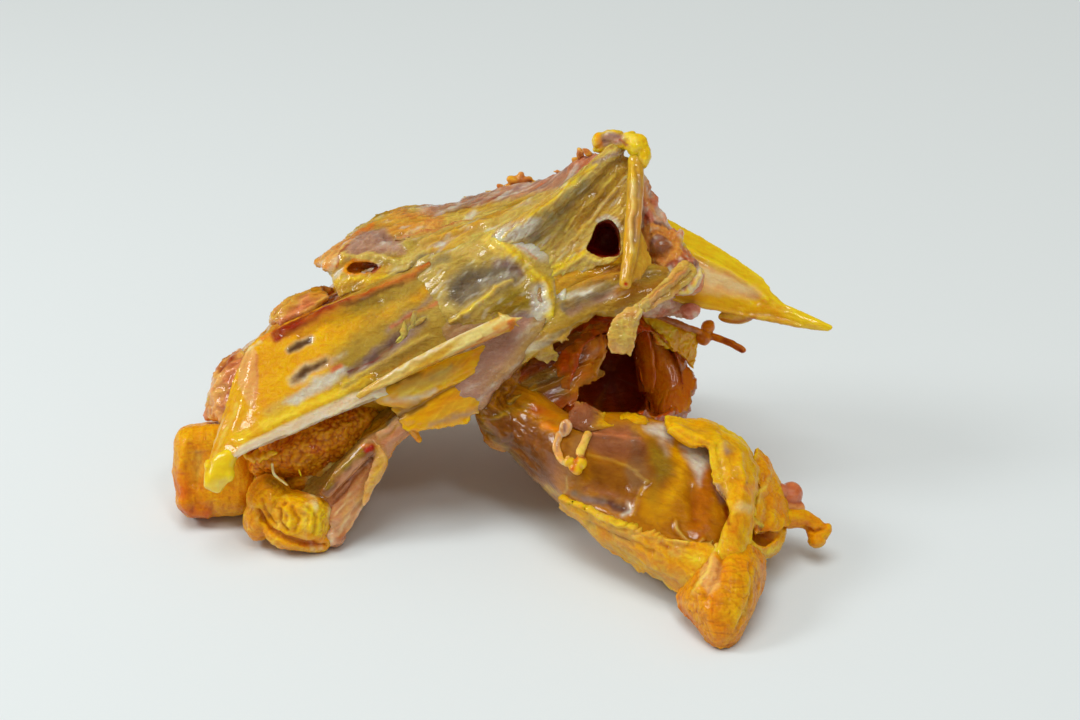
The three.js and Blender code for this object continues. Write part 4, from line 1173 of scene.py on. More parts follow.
def centre_membrane():
    """The web of clear membranes where the keel, the plate and the ribs meet."""
    piece = Flesh("centre_membrane", [sheet(CENTRE, 2.4, along=180, across=124, ragged=0.3)], None, seed=5,
        grain=UPPER_GRAIN)
    piece.knead((0.3, 8, 2), (0.12, 2.2, 3))
    piece.ridges(
        (-1.4, 8, [(458, 292), (474, 278)]),
        (-1.0, 7, [(492, 276), (516, 268)]),
        (1.1, 2.6, [(452, 322), (470, 311), (486, 299), (498, 286), (512, 280)]),
        (1.3, 4, [(494, 240), (508, 252), (530, 268), (546, 290), (550, 316)]),
        (-0.9, 3, [(522, 262), (538, 280), (541, 300)]),
        (-0.9, 3, [(558, 284), (558, 310)]),
        (0.8, 2.5, [(562, 284), (564, 300), (560, 318)]),
        (0.6, 3, [(404, 282), (436, 268), (470, 256)]),
        (-0.8, 5, [(508, 318), (530, 322)]),
    )
    piece.fill("straw")
    piece.mottle("dusk", 4, 0.45, 0.6, 8, 1.5)
    piece.mottle("olive", 3.5, 0.3, 0.4, 7, 1.5)
    piece.stroke("smoke", 4, [(404, 276), (428, 264), (446, 258)], 10, 0.7)
    piece.patch("smoke", [(444, 300), (448, 282), (462, 270), (484, 266), (490, 282), (478, 300),
        (458, 308)], 16, 1.0)
    piece.stroke("slate", 3, [(456, 298), (466, 282), (476, 276)], 10, 0.6)
    piece.patch("smoke", [(480, 282), (486, 268), (506, 258), (520, 262), (526, 276), (518, 286),
        (498, 292)], 14, 0.95)
    piece.strokes(
        ("mist", 2, [(484, 284), (500, 276), (516, 272)], 9, 0.35),
        ("lilac", 5, [(498, 262), (512, 262), (522, 270)], 7, 0.8),
        ("plum", 2, [(508, 264), (518, 268), (524, 276)], 5, 0.8),
        ("mist", 1.5, [(506, 257), (512, 260)], 3, 0.9),
    )
    piece.patch("olive", [(488, 314), (494, 298), (510, 288), (530, 292), (534, 310), (512, 318)], 12, 1.0)
    piece.stroke("amber", 2, [(500, 310), (522, 300)], 9, 0.45)
    piece.patch("lilac", [(506, 334), (510, 316), (528, 312), (536, 320), (536, 334)], 9, 0.9)
    piece.strokes(
        ("straw", 3, [(450, 324), (468, 312), (484, 302), (496, 288), (512, 281)], 4, 1.0),
        ("lemon", 1.5, [(452, 322), (468, 311), (485, 300), (496, 287)], 3, 0.8),
        ("dusk", 3, [(420, 310), (440, 316), (470, 322)], 8, 0.7),
    )
    piece.patch("butter", [(480, 238), (496, 230), (512, 244), (524, 256), (504, 256), (488, 250)], 8, 1.0)
    piece.patch("mist", [(496, 236), (510, 226), (532, 236), (544, 254), (530, 256), (512, 246)], 8, 1.0)
    piece.strokes(
        ("mist", 6, [(526, 246), (540, 256)], 9, 0.8),
        ("salmon", 1, [(517, 246), (525, 250), (534, 259)], 2.5, 0.95),
        ("lemon", 4.5, [(508, 250), (528, 266), (543, 284), (549, 302), (549, 318)], 9, 0.95),
        ("straw", 4, [(530, 262), (542, 272), (560, 268)], 9, 0.7),
        ("lilac", 3, [(533, 294), (535, 312), (532, 330)], 6, 0.8),
        ("mist", 5, [(538, 290, 0), (541, 308, 2), (537, 328, 2)], 7, 1.0),
        ("lemon", 2, [(548, 284), (551, 302), (549, 320)], 4, 0.9),
        ("mist", 3, [(557, 286), (562, 300), (559, 318)], 5, 1.0),
        ("salmon", 1.2, [(565, 288), (568, 302), (565, 318)], 4, 0.7),
        ("mist", 1, [(436, 247), (446, 243)], 3, 0.9),
    )
    piece.mottle("mist", 1.3, 0.13, 0.5, 9, 3)
    piece.crease_and_shade(0.06, 1.8, "olive", 0.15, 3, 4)
    piece.done(MEMBRANE)


def keel():
    """The keel standing out of the breast: a clear brown blade under a pale ridge, with one torn hole."""
    ridge = [(x, y, near - 1.2, across, 1.5) for x, y, near, across, _ in KEEL_RIDGE]
    forms = [sheet(KEEL, 2.2, ragged=0.6), limb(ridge)]
    piece = Flesh("keel", forms, 0.4, cuts=[bore(KEEL_TEAR, 12, -16, 0.9)], smoothing=3, seed=6,
        grain=KEEL_GRAIN)
    piece.meld(30, [(500, 246), (520, 240), (545, 224), (585, 192), (612, 164)], 10)
    piece.knead((0.35, 5, 3), (0.3, 1.9, 4))
    piece.ridge(0.5, 4, [(505, 240), (535, 216), (575, 184), (614, 153)])
    piece.ridge(-0.8, 4, [(560, 214), (586, 192), (612, 168), (624, 158)])
    fibres = ([(566, 230), (592, 200), (614, 176)], [(574, 240), (596, 212), (616, 188)])
    for fibre in fibres:
        piece.ridge(0.7, 2.2, fibre)
    piece.ridge(-0.6, 3, [(580, 226), (604, 196)])
    piece.ridge(0.8, 3, [(540, 280), (566, 268), (586, 256), (600, 262)])
    piece.fill("straw")
    piece.mottle("honey", 5, 0.4, 0.6, 1, 4, "front")
    piece.mottle("dusk", 4, 0.4, 0.6, 2, 4, "front")
    piece.strokes(
        # Painted shadow: olive and brown lines below the ridge, along the groove it overhangs.
        ("olive", 2, [(552, 226), (580, 198), (606, 172), (626, 156)], 7, 0.7),
        ("brown", 1.2, [(596, 178), (612, 165), (626, 156)], 5, 0.6),
        ("olive", 3, [(540, 250), (560, 232), (576, 216)], 9, 0.5),
        ("honey", 5, [(580, 228), (604, 198), (622, 172)], 8, 0.75),
        ("olive", 2, [(590, 214), (606, 194), (618, 176)], 7, 0.5),
        ("butter", 1.4, fibres[0], 4, 0.7),
        ("butter", 1.2, fibres[1], 4, 0.6),
        ("sage", 6, [(514, 244, 3), (534, 230, 6), (556, 210, 4), (584, 184, 1)], 8, 0.85),
        ("smoke", 2, [(530, 236), (550, 218)], 8, 0.6),
    )
    piece.patch("mist", [(490, 240), (506, 228), (528, 220), (540, 222), (526, 238), (508, 248)], 8, 0.9)
    piece.strokes(
        ("butter", 5, [(488, 246), (504, 246), (520, 250)], 7, 0.95),
        ("straw", 2.5, [(540, 214), (575, 186), (598, 168)], 5, 0.8),
        ("lilac", 2.4, [(596, 164), (610, 155), (624, 150)], 4, 0.8),
        ("lemon", 1, [(504, 238), (535, 213), (575, 182), (598, 165)], 2.5, 0.9),
        ("straw", 5, [(546, 262), (566, 250), (582, 240)], 9, 0.8),
        ("lemon", 4, [(544, 272), (566, 263), (584, 252)], 6, 0.95),
        ("butter", 1.6, [(550, 277), (574, 270), (590, 259), (604, 260), (620, 260)], 3, 0.9, "all", 0.4),
        ("mist", 2.4, [(598, 221), (606, 217), (615, 220), (620, 230)], 2.5, 0.9, "all", 0.3),
    )
    piece.mottle("mist", 1.3, 0.14, 0.6, 5, 5, "front")
    piece.crease_and_shade(0.15, 1.6, "amber", 0.3, 3, 4, piece.side_weight("front"))
    # Painted shade: dark red on the walls of the torn hole.
    piece.lay("hole_shade", ease(piece.inside(KEEL_TEAR, 0.2) / 2 - 0.3))
    piece.done(KEEL_SKIN, share=0.75)


def keel_knobs():
    """The knobs of fat on the keel's tip."""
    forms = [lump((637, 146, 2), (4.4, 3.6, 3.4), -30), lump((644, 155, 2), (2.6, 4.6, 3)),
        lump((628, 139, 1), (3, 2.6, 2.8))]
    forms += [lump((639, 162, 2), (2, 3.4, 2.4), -20), lump((599, 140, -2), (1.9, 2.6, 2.2), -12)]
    forms += [lump((612, 136, -2), (4, 2.4, 3)), lump((606, 146, -3), (3.6, 2, 2.6), 20),
        lump((621, 143, -1), (3, 2.2, 3))]
    forms += crumbs([(596, 150, -3), (606, 134, -2)], 3, 1.1, 3, 1)
    piece = Flesh("keel_knobs", forms, 0.34, smoothing=6, seed=3)
    piece.knead((0.5, 3), (0.12, 1.8))
    piece.fill("lemon")
    piece.strokes(
        ("butter", 3, [(626, 136), (636, 140)], 6, 0.8, "all"),
        ("yolk", 3, [(648, 150), (642, 164)], 6, 0.7, "all"),
        ("mauve", 7, [(606, 142), (618, 138)], 5, 0.95, "all"),
        ("lilac", 2, [(606, 134), (618, 134)], 4, 0.7, "all"),
        ("tangerine", 3.5, [(599, 136), (600, 146)], 4, 0.95, "all"),
        ("rust", 1, [(615, 142), (621, 138), (628, 144)], 2, 0.9, "all"),
        ("mist", 1, [(608, 132), (616, 131)], 2.5, 0.6, "all"),
    )
    piece.done(WAXY, share=0.8)


def strut():
    """The strut of bone that stands down from the keel's tip, with its flap."""
    piece = Flesh("strut", [limb(STRUT), sheet(STRUT_FLAP, 1.8, ragged=0.8)], 0.36, smoothing=3, seed=4,
        grain=-UP)
    piece.knead((0.2, 3, 3), (0.1, 1.3, 3))
    piece.ridge(0.5, 2, [(633, 164), (633, 200), (630, 250), (626, 280)])
    piece.ridge(-0.35, 2, [(637, 168), (637, 210), (634, 244)])
    piece.fill("honey")
    piece.mottle("yolk", 4, 0.4, 0.5, 2, 4)
    piece.strokes(
        ("cream", 1.2, [(633, 180), (633, 205), (630, 250)], 5, 0.6),
        ("lilac", 1.4, [(638, 176), (638, 205), (636, 240)], 4, 0.7),
        ("salmon", 0.6, [(641, 190), (641, 214), (638, 236)], 4, 0.6, "all"),
        ("lemon", 3, [(630, 154), (631, 180)], 9, 0.95),
        ("yolk", 2, [(627, 226), (625, 262)], 7, 0.7),
    )
    piece.patch("honey", [(638, 246), (648, 244), (650, 266), (640, 280), (634, 276)], 6, 0.8)
    piece.stroke("marrow", 1.8, [(625, 284)], 2, 1.0, "all", 0.3)
    piece.done(WAXY, share=0.8)


def shoulder():
    """Shoulder meat, pink, with a dark socket, the grey joint below and painted shade in the keel's hole."""
    forms = [limb(SHOULDER_EDGE), lump(**SHOULDER_JOINT), sheet(SHOULDER_MEAT, 4, back=12),
        sheet(SHOULDER_BRIDGE, 3)]
    forms += crumbs([(640, 176, -7), (652, 208, -8), (664, 222, -6), (684, 246, -2)], 12, 2.2, 7, 2.5)
    piece = Flesh("shoulder", forms, 0.54, cuts=[bore(KEEL_TEAR, 12, -16)], smoothing=3, seed=6, grain=-UP)
    piece.knead((0.5, 5, 2), (0.3, 2, 1.5))
    piece.ridges(
        (1.8, 7, [(659, 245)]),
        (-0.9, 2.5, [(646, 236), (657, 231), (668, 236), (673, 246), (664, 258), (650, 257)]),
        (0.9, 2, [(670, 284), (676, 268), (690, 260), (700, 264), (700, 278), (690, 291), (676, 292),
            (670, 284)]),
        (-1.6, 5, [(680, 282), (692, 270)]),
    )
    piece.fill("meat")
    piece.fill("salmon", "front")
    piece.mottles(
        ("peach", 4, 0.4, 0.7, 2, 2),
        ("pink", 3, 0.4, 0.7, 3, 2),
        ("meat", 3, 0.3, 0.7, 6, 2),
        ("pearl", 2.5, 0.45, 0.7, 4, 2, "front"),
    )
    piece.stroke("peach", 1.6, [(641, 180), (652, 205), (664, 222)], 4, 0.8)
    piece.stroke("brick", 2, [(640, 210), (647, 218)], 3, 0.9)
    piece.patch("apricot", [(638, 230), (656, 222), (676, 234), (681, 254), (664, 267),
        (640, 262)], 4, 0.95)
    piece.patch("rose", [(648, 240), (656, 233), (668, 238), (671, 248), (662, 256), (650, 254)], 4, 1.0,
        loose=0.4)
    piece.strokes(
        ("lilac", 2, [(652, 242), (660, 238)], 5, 0.7, "front", 0.4),
        ("plum", 2.2, [(657, 222), (668, 229)], 3, 0.9),
        ("lemon", 4, [(683, 243), (694, 249), (700, 256)], 4, 0.95),
        ("brick", 1.2, [(666, 264), (676, 260), (686, 258)], 2.5, 0.9),
        ("smoke", 7, [(680, 282), (691, 270)], 4, 1.0),
        ("plum", 3, [(692, 264), (698, 262)], 3, 0.95),
        ("slate", 3, [(680, 284), (688, 276)], 4, 0.8),
        ("butter", 1.6, [(670, 286), (680, 293), (694, 288), (702, 272), (700, 260)], 2.2, 0.95),
    )
    piece.mottle("mist", 1.6, 0.16, 0.5, 8)
    # Painted shade: dark red where the shoulder shows through the keel's hole.
    piece.lay("hole_shade", piece.within([(620, 218), (604, 216), (584, 240), (584, 258), (622, 260)], 3))
    piece.done(MEAT, share=0.55)


def strap():
    """The strap that hangs from the joint, and its flap."""
    piece = Flesh("strap", [limb(STRAP), sheet(STRAP_FLAP, 2, ragged=1.2)], 0.38, smoothing=5, seed=7)
    piece.knead((0.35, 4), (0.2, 1.6))
    piece.ridge(0.9, 1.6, [(686, 268), (664, 290), (644, 306), (634, 318)])
    piece.ridge(-0.6, 1.6, [(690, 272), (668, 294), (648, 310)])
    piece.fill("straw")
    piece.mottle("peach", 4, 0.4, 0.7, 1)
    piece.mottle("honey", 4, 0.4, 0.6, 2)
    piece.strokes(
        ("rose", 1.2, [(690, 262), (668, 284), (648, 302)], 3, 0.8),
        ("salmon", 1, [(684, 270), (662, 292), (645, 305)], 3, 0.7),
        ("brown", 0.6, [(690, 274), (668, 297), (650, 310)], 2, 0.6),
        ("straw", 6, [(614, 330), (632, 326), (622, 346)], 7, 0.7),
        ("salmon", 1, [(608, 320), (606, 336), (612, 348)], 3, 0.6, "all"),
        ("butter", 2, [(620, 322), (630, 330)], 5, 0.6),
    )
    piece.done(MEAT, share=0.8)


def shoulder_band():
    """The torn band of membrane below the keel."""
    forms = [sheet(SHOULDER_BAND, 3, back=10, ragged=1.8)]
    forms += tatters([(540, 350, 5), (560, 338, 6), (580, 326, 6)], 3, 18, 8, (0.35, 0.35), 1.4)
    piece = Flesh("shoulder_band", forms, 0.46, smoothing=2, seed=8, grain=BAND_GRAIN)
    piece.knead((0.5, 6, 3), (0.25, 2.2, 4))
    piece.ridge(0.8, 3, [(560, 292), (590, 282), (625, 272), (660, 272)])
    piece.ridge(-0.8, 5, [(570, 302), (600, 292), (632, 284)])
    piece.fill("dusk")
    piece.mottle("amber", 6, 0.5, 0.7, 1, 4)
    piece.mottle("mist", 2, 0.14, 0.6, 2, 5)
    piece.strokes(
        ("ochre", 7, [(575, 280), (600, 276), (630, 268)], 8, 0.85),
        ("brown", 1.6, [(580, 278), (604, 270), (630, 266)], 3, 0.8),
        ("honey", 2, [(560, 290), (590, 281), (625, 271)], 4, 0.8),
        ("smoke", 6, [(566, 306), (585, 300), (608, 290)], 6, 0.95),
        ("slate", 4, [(568, 310), (586, 304), (604, 297)], 6, 0.8),
        ("mist", 1.5, [(570, 296), (590, 290)], 4, 0.8),
        ("mauve", 2.5, [(570, 314), (596, 302), (616, 294)], 5, 0.6),
        ("pearl", 1.2, [(584, 292), (604, 286)], 4, 0.6),
        ("amber", 5, [(620, 292), (650, 286), (670, 284)], 7, 0.7),
        ("olive", 3, [(540, 350), (562, 330), (590, 318)], 8, 0.7),
        ("honey", 2, [(515, 372), (545, 350), (566, 336), (585, 322), (600, 316)], 3, 0.8),
        ("mauve", 3, [(505, 374), (520, 352), (536, 336)], 6, 0.8),
        ("plum", 1.5, [(508, 360), (526, 342)], 4, 0.7),
    )
    piece.done(MEMBRANE)


def rod():
    """The rod of bone on the plate, with its broken orange end."""
    slim = [(350, 400, 7, 0.8, 0.8), (400, 373, 9, 2, 1.8), (450, 348, 9, 2.5, 2.1),
        (506, 323, 9, 2.9, 2.3)]
    forms = [limb(slim, sides=32)]
    forms += tatters([(503, 316, 9.5), (509, 323, 10), (510, 332, 9)], 4, 10, 9, (0.8, 0.2), 1.3)
    piece = Flesh("rod", forms, 0.34, smoothing=2, seed=9, grain=UPPER_GRAIN)
    piece.knead((0.12, 4, 8), (0.06, 1.2, 8))
    piece.ridge(0.5, 1.5, [(360, 396), (420, 366), (480, 338)])
    piece.fill("honey")
    piece.mottle("bone", 4, 0.5, 0.8, 4, 7)
    piece.mottle("honey", 3, 0.4, 0.6, 1, 7)
    piece.strokes(
        ("sage", 1, [(380, 381), (430, 354), (480, 331)], 3, 0.4),
        ("pearl", 0.8, [(380, 378), (430, 351), (488, 323)], 2, 0.8),
        ("yolk", 1, [(354, 400), (400, 380), (430, 366)], 3, 0.8),
        ("honey", 2, [(400, 382), (440, 364), (480, 346)], 3, 0.9),
        ("coral", 2, [(430, 366), (470, 349), (505, 334)], 5, 0.9),
        ("tangerine", 3, [(496, 328), (512, 320)], 4, 0.8),
        ("rind", 0.7, [(476, 342), (500, 331), (510, 327)], 2, 0.8),
        ("rind", 2.5, [(511, 320), (513, 330)], 3, 0.6, "all"),
    )
    piece.done(BONE)


def side_plates():
    """The two thin plates below the rod."""
    forms = [sheet(SECOND_PLATE, 3, ragged=0.5), sheet(THIRD_PLATE, 3.6, ragged=1.6),
        limb(THIRD_PLATE_POINT)]
    piece = Flesh("side_plates", forms, 0.42, smoothing=2, seed=10, grain=UPPER_GRAIN)
    piece.knead((0.3, 6, 3), (0.15, 2, 4))
    piece.ridge(-0.8, 2.5, [(384, 424), (430, 400), (470, 380), (492, 370)])
    piece.fill("yolk")
    piece.mottle("honey", 6, 0.4, 0.6, 1, 4)
    piece.strokes(
        ("straw", 3, [(400, 396), (430, 388), (455, 372)], 6, 0.7),
        ("smoke", 1.5, [(430, 378), (452, 366)], 5, 0.7),
        ("mist", 2, [(388, 402), (412, 400), (436, 392)], 5, 0.8),
        # Painted shadow: slate under the rod where it lies on the plate.
        ("slate", 3.5, [(352, 398), (380, 388), (416, 374)], 6, 0.95),
    )
    piece.patch("straw", [(392, 394), (420, 388), (450, 380), (466, 366), (440, 368), (404, 384)], 8, 0.7)
    piece.strokes(
        ("plum", 1, [(360, 394), (384, 384)], 3, 0.7),
        ("brown", 1.2, [(384, 426), (430, 401), (470, 380), (492, 370)], 3.5, 0.9),
        ("slate", 4, [(378, 426), (404, 412), (420, 404)], 6, 0.95),
        ("tangerine", 4, [(450, 376), (474, 364), (486, 354)], 8, 0.7),
        ("tangerine", 4, [(430, 410), (455, 400), (478, 390)], 8, 0.6),
        ("lilac", 2, [(430, 424), (456, 420), (474, 410)], 5, 0.7),
        ("tangerine", 3, [(415, 430), (420, 442)], 3, 0.9, "all"),
        ("lemon", 2, [(400, 398), (440, 384), (480, 362)], 6, 0.6),
    )
    piece.done(WAXY, share=0.75)


def flank_membrane():
    """The membrane between the plates and the centre: mauve on the right, yellow on the left."""
    piece = Flesh("flank_membrane", [sheet(FLANK_MEMBRANE, 3.6, along=124, across=100, ragged=0.4)], None,
        seed=32, grain=UPPER_GRAIN)
    piece.knead((0.5, 8, 2), (0.2, 2.2, 4))
    piece.ridge(-0.9, 5, [(486, 346), (508, 338)])
    piece.ridge(0.7, 3, [(536, 334), (516, 356), (496, 378)])
    piece.fill("mauve")
    piece.mottle("dusk", 6, 0.45, 0.7, 1, 4)
    piece.strokes(
        ("yolk", 9, [(456, 346), (470, 362), (468, 388), (452, 410)], 12, 0.95),
        ("amber", 3, [(478, 354), (486, 372), (476, 396)], 10, 0.7),
        ("smoke", 3, [(500, 312), (516, 320), (526, 314)], 8, 0.8),
    )
    piece.patch("slate", [(480, 352), (492, 340), (514, 332), (522, 340), (504, 354)], 7, 1.0)
    piece.patch("umber", [(488, 350), (500, 342), (514, 338), (512, 346)], 6, 0.7)
    piece.strokes(
        ("umber", 1.5, [(490, 350), (510, 340)], 4, 0.6),
        ("lilac", 8, [(536, 318), (522, 340), (502, 366), (484, 392)], 8, 0.95),
        ("plum", 4, [(508, 358), (494, 376)], 6, 0.95),
        ("plum", 6, [(516, 352), (502, 372), (490, 390)], 8, 0.7),
        ("brick", 0.6, [(512, 362), (500, 376)], 3, 0.6),
        ("slate", 4, [(460, 410), (474, 396)], 8, 0.6),
        ("mist", 0.8, [(540, 330), (520, 356), (498, 384)], 4, 0.6),
        ("honey", 2.5, [(544, 336), (524, 360), (500, 392)], 5, 0.8),
        ("gold", 3, [(430, 332), (445, 350), (470, 345)], 8, 0.7),
    )
    piece.mottle("mist", 1.3, 0.13, 0.5, 3, 5)
    piece.done(MEMBRANE)


def wrinkle(piece, size, depth, grain):
    """Plucked skin: fine crossing wrinkles, with painted shade in their creases."""
    piece.rumple(depth * 1.4, size * 1.6, 2, 2.5, folded=True, grain=grain)
    piece.crease_and_shade(depth, size, "rind", 0.14, 1, 3, grain=grain)
    piece.crease_and_shade(depth * 0.7, size * 0.6, "tangerine", 0.3, 2, 2, grain=RIGHT)
    piece.crease_and_shade(depth * 0.7, size * 0.5, "tangerine", 0.25, 3)


def skin_block():
    """The square block of skin at the left."""
    piece = Flesh("skin_block", [lump(**SKIN_BLOCK, sides=80, rows=60)], 0.42, smoothing=3, seed=11)
    piece.rumple(0.6, 8, 1)
    piece.ridges(
        (1.2, 5, [(186, 440), (181, 470), (187, 500)]),
        (1.2, 4, [(182, 500), (190, 512), (206, 514)]),
        (-1.0, 5, [(198, 456), (197, 484)]),
    )
    piece.fill("skin")
    piece.mottle("yolk", 7, 0.55, 0.7, 1)
    wrinkle(piece, 2.2, 0.12, TAIL_GRAIN)
    # Painted light and shade: yolk across the top; rind, ochre and brick along the bottom.
    piece.strokes(
        ("yolk", 11, [(192, 432), (226, 430)], 14, 0.5),
        ("butter", 3, [(195, 455), (198, 478)], 8, 0.5),
        ("ochre", 4, [(222, 508), (252, 504)], 12, 0.35),
        ("rind", 8, [(181, 484), (186, 505), (205, 514)], 10, 0.75),
        ("brick", 1.4, [(178, 506), (190, 514), (204, 516)], 3, 0.8),
    )
    piece.done(SKIN, 1, 0.7)


def skin_lump():
    """The crumpled lump of skin in front of the block."""
    forms = [lump((268, 500, -2), (7.4, 8, 8.6), -20), lump((300, 519, -1), (10, 8.6, 9.5), -12, 2.8),
        limb(LUMP_ROLL)]
    forms += [lump((258, 518, -2), (5, 7, 7)), limb(BLOCK_TO_LUMP)]
    piece = Flesh("skin_lump", forms, 0.44, smoothing=3, seed=12, grain=UP)
    fold = [(286, 502), (279, 508), (278, 522), (286, 530)]
    lip = [(258, 512), (268, 528), (284, 538), (306, 544), (326, 545)]
    piece.rumple(0.7, 6, 1)
    piece.ridges(
        (-1.6, 2.5, lip),
        (-1.4, 2.5, fold),
        (-0.9, 2, [(262, 500), (268, 514), (276, 526)]),
        (1.0, 2.5, [(282, 506), (290, 514), (289, 526)]),
        (-0.8, 2, [(292, 506), (298, 518), (296, 530)]),
        (0.8, 2.5, [(300, 506), (312, 514), (310, 530)]),
        (-0.7, 2, [(308, 506), (317, 518), (314, 534)]),
    )
    piece.fill("skin")
    piece.fill("yolk", "front")
    piece.mottle("tangerine", 5, 0.4, 0.6, 1)
    piece.mottle("butter", 3, 0.25, 0.5, 7, 1.0, "front")
    wrinkle(piece, 2.2, 0.16, STRIP_GRAIN)
    piece.stroke("yolk", 5, [(282, 506), (300, 512), (300, 528)], 9, 0.8)
    piece.stroke("lemon", 2, [(284, 508), (290, 516), (288, 524)], 5, 0.7)
    piece.patch("lemon", [(300, 504), (328, 504), (331, 530), (314, 538), (302, 524)], 9, 0.8)
    cream = piece.past(ACROSS, 300, 16) * piece.side_weight("front")
    piece.mottle("cream", 3, 0.4, 0.6, 3, 3, "all", cream)
    piece.strokes(
        # Painted shade: rind and ochre lines in the sunk lip and fold.
        ("rind", 1.2, lip, 4, 0.8),
        ("ochre", 1, fold, 4, 0.8),
        # Painted shadow: umber in the recess between the lump and the plucked skin above it.
        ("umber", 6, [(272, 482), (288, 482)], 8, 0.6),
        ("tangerine", 4, [(250, 522), (270, 544), (306, 550)], 6, 0.6),
    )
    piece.done(SKIN, 1, 0.75)


def follicle_skin():
    """The plucked skin above the lump, full of raised spots."""
    piece = Flesh("follicle_skin", [limb(FOLLICLE_SKIN, sides=48)], 0.42, smoothing=3, seed=13,
        grain=STRIP_GRAIN)
    piece.knead((0.8, 6), (0.3, 3, 2))
    spots = piece.pimples(0.5, 1.5, 3)
    piece.fill("tangerine")
    piece.mottle("rind", 4, 0.4, 0.7, 2)
    piece.mottle("yolk", 5, 0.35, 0.6, 4)
    piece.lay("yolk", spots * 0.5)
    piece.crease_and_shade(0.2, 2, "ochre", 0.45, 3, 1.5)
    piece.stroke("ochre", 3, [(284, 478), (330, 456), (366, 428)], 8, 0.7)
    piece.done(SKIN, 1.2, 0.7)


def skin_fat():
    """Crumbs of fat and two threads on the plucked skin."""
    forms = crumbs([(248, 456, 3), (258, 457, 3), (272, 454, 3)], 12, 1.5, 11, 1.5)
    forms += [limb([(272, 464, 3, 0.5, 0.5), (274, 474, 4, 0.5, 0.5), (287, 485, 4, 0.4, 0.4)])]
    forms += [limb([(299, 470, 3, 0.4, 0.4), (301, 476, 4, 0.3, 0.3)])]
    piece = Flesh("skin_fat", forms, 0.3, smoothing=2, seed=33)
    piece.fill("yolk")
    piece.mottle("lemon", 2, 0.5, 0.8, 1)
    piece.stroke("cream", 2, [(272, 466), (274, 478), (287, 487)], 2, 0.9, "all")
    piece.done(WAXY, share=0.9)


def leg_strip():
    """The strip that ran to the leg: an olive tube with a red end, and a clear peach skin below it."""
    forms = [sheet(LEG_STRIP, 4, back=5, ragged=0.6), lump(**STRIP_END)]
    forms += [limb([(326, 492, 4, 2.2, 2), (348, 468, 4, 2.8, 2.4), (370, 447, 4, 2.6, 2.4)])]
    forms += [limb([(376, 446, 4, 1.6, 1), (380, 464, 4, 2.6, 1), (370, 486, 3, 1.8, 1),
        (364, 504, 2, 0.8, 0.8)])]
    piece = Flesh("leg_strip", forms, 0.43, smoothing=2, seed=14, grain=STRIP_GRAIN)
    piece.knead((0.5, 6, 3), (0.3, 2.4, 5))
    piece.ridges(
        (1.2, 3, [(440, 396), (404, 414), (378, 436)]),
        (-1.2, 3.5, [(400, 406), (360, 434), (318, 474)]),
        (-0.9, 2.5, [(366, 466), (346, 490), (324, 512)]),
    )
    piece.fill("strip")
    piece.mottles(
        ("shell", 5, 0.3, 0.5, 7, 4),
        ("salmon", 5, 0.35, 0.5, 1, 4),
        ("peach", 4, 0.35, 0.6, 5, 4),
    )
    piece.patch("olive", [(294, 495), (300, 470), (350, 430), (410, 390), (430, 400), (396, 420),
        (364, 440), (335, 474), (314, 500)], 8, 0.9)
    piece.stroke("brown", 2.5, [(312, 488), (344, 448), (392, 408)], 7, 0.7)
    piece.patch("gold", [(350, 432), (396, 398), (440, 380), (444, 392), (400, 412), (366, 438)], 7, 0.85)
    piece.mottle("olive", 4, 0.4, 0.7, 2, 5, "front", piece.past(DOWN, 470, -20))
    piece.strokes(
        ("brown", 7, [(322, 494), (346, 470), (368, 449)], 6, 0.85),
        ("olive", 3, [(326, 488), (346, 466), (362, 450)], 5, 0.8),
        ("gold", 0.8, [(330, 482), (346, 464), (360, 450)], 3, 0.6),
        ("umber", 1.2, [(334, 498), (352, 478), (372, 458)], 4, 0.6),
        ("straw", 1, [(340, 450), (326, 466), (312, 484)], 4, 0.5),
        ("honey", 2, [(430, 405), (400, 425), (378, 442)], 5, 0.9),
        ("smoke", 2.5, [(402, 414), (388, 424)], 5, 0.9),
        ("tangerine", 4, [(418, 432), (398, 450), (386, 470)], 5, 0.85),
        ("honey", 4, [(378, 448), (380, 466), (370, 488), (364, 502)], 5, 0.9),
        ("gold", 1, [(384, 448), (386, 466), (376, 490)], 3, 0.8),
        ("peach", 4, [(352, 500), (342, 525)], 9, 0.8),
        ("amber", 3, [(366, 512), (350, 534)], 5, 0.5),
        ("ochre", 3, [(334, 536), (342, 534)], 5, 0.8),
        ("coral", 2, [(362, 446), (374, 446)], 3, 0.8, "front", 0.4),
        ("brick", 3, [(366, 450), (372, 447)], 3, 1.0, "front", 0.4),
        ("marrow", 1.5, [(366, 450), (371, 447)], 2, 0.9, "front", 0.3),
    )
    # Painted glints: cream specks on the wet peach skin low on the strip.
    painted_glints = piece.around([(346, 500), (338, 520)], 18)
    piece.mottle("cream", 1.5, 0.2, 0.7, 6, 4, "front", painted_glints)
    piece.done(STRIP_SKIN, 1.2, 0.75)


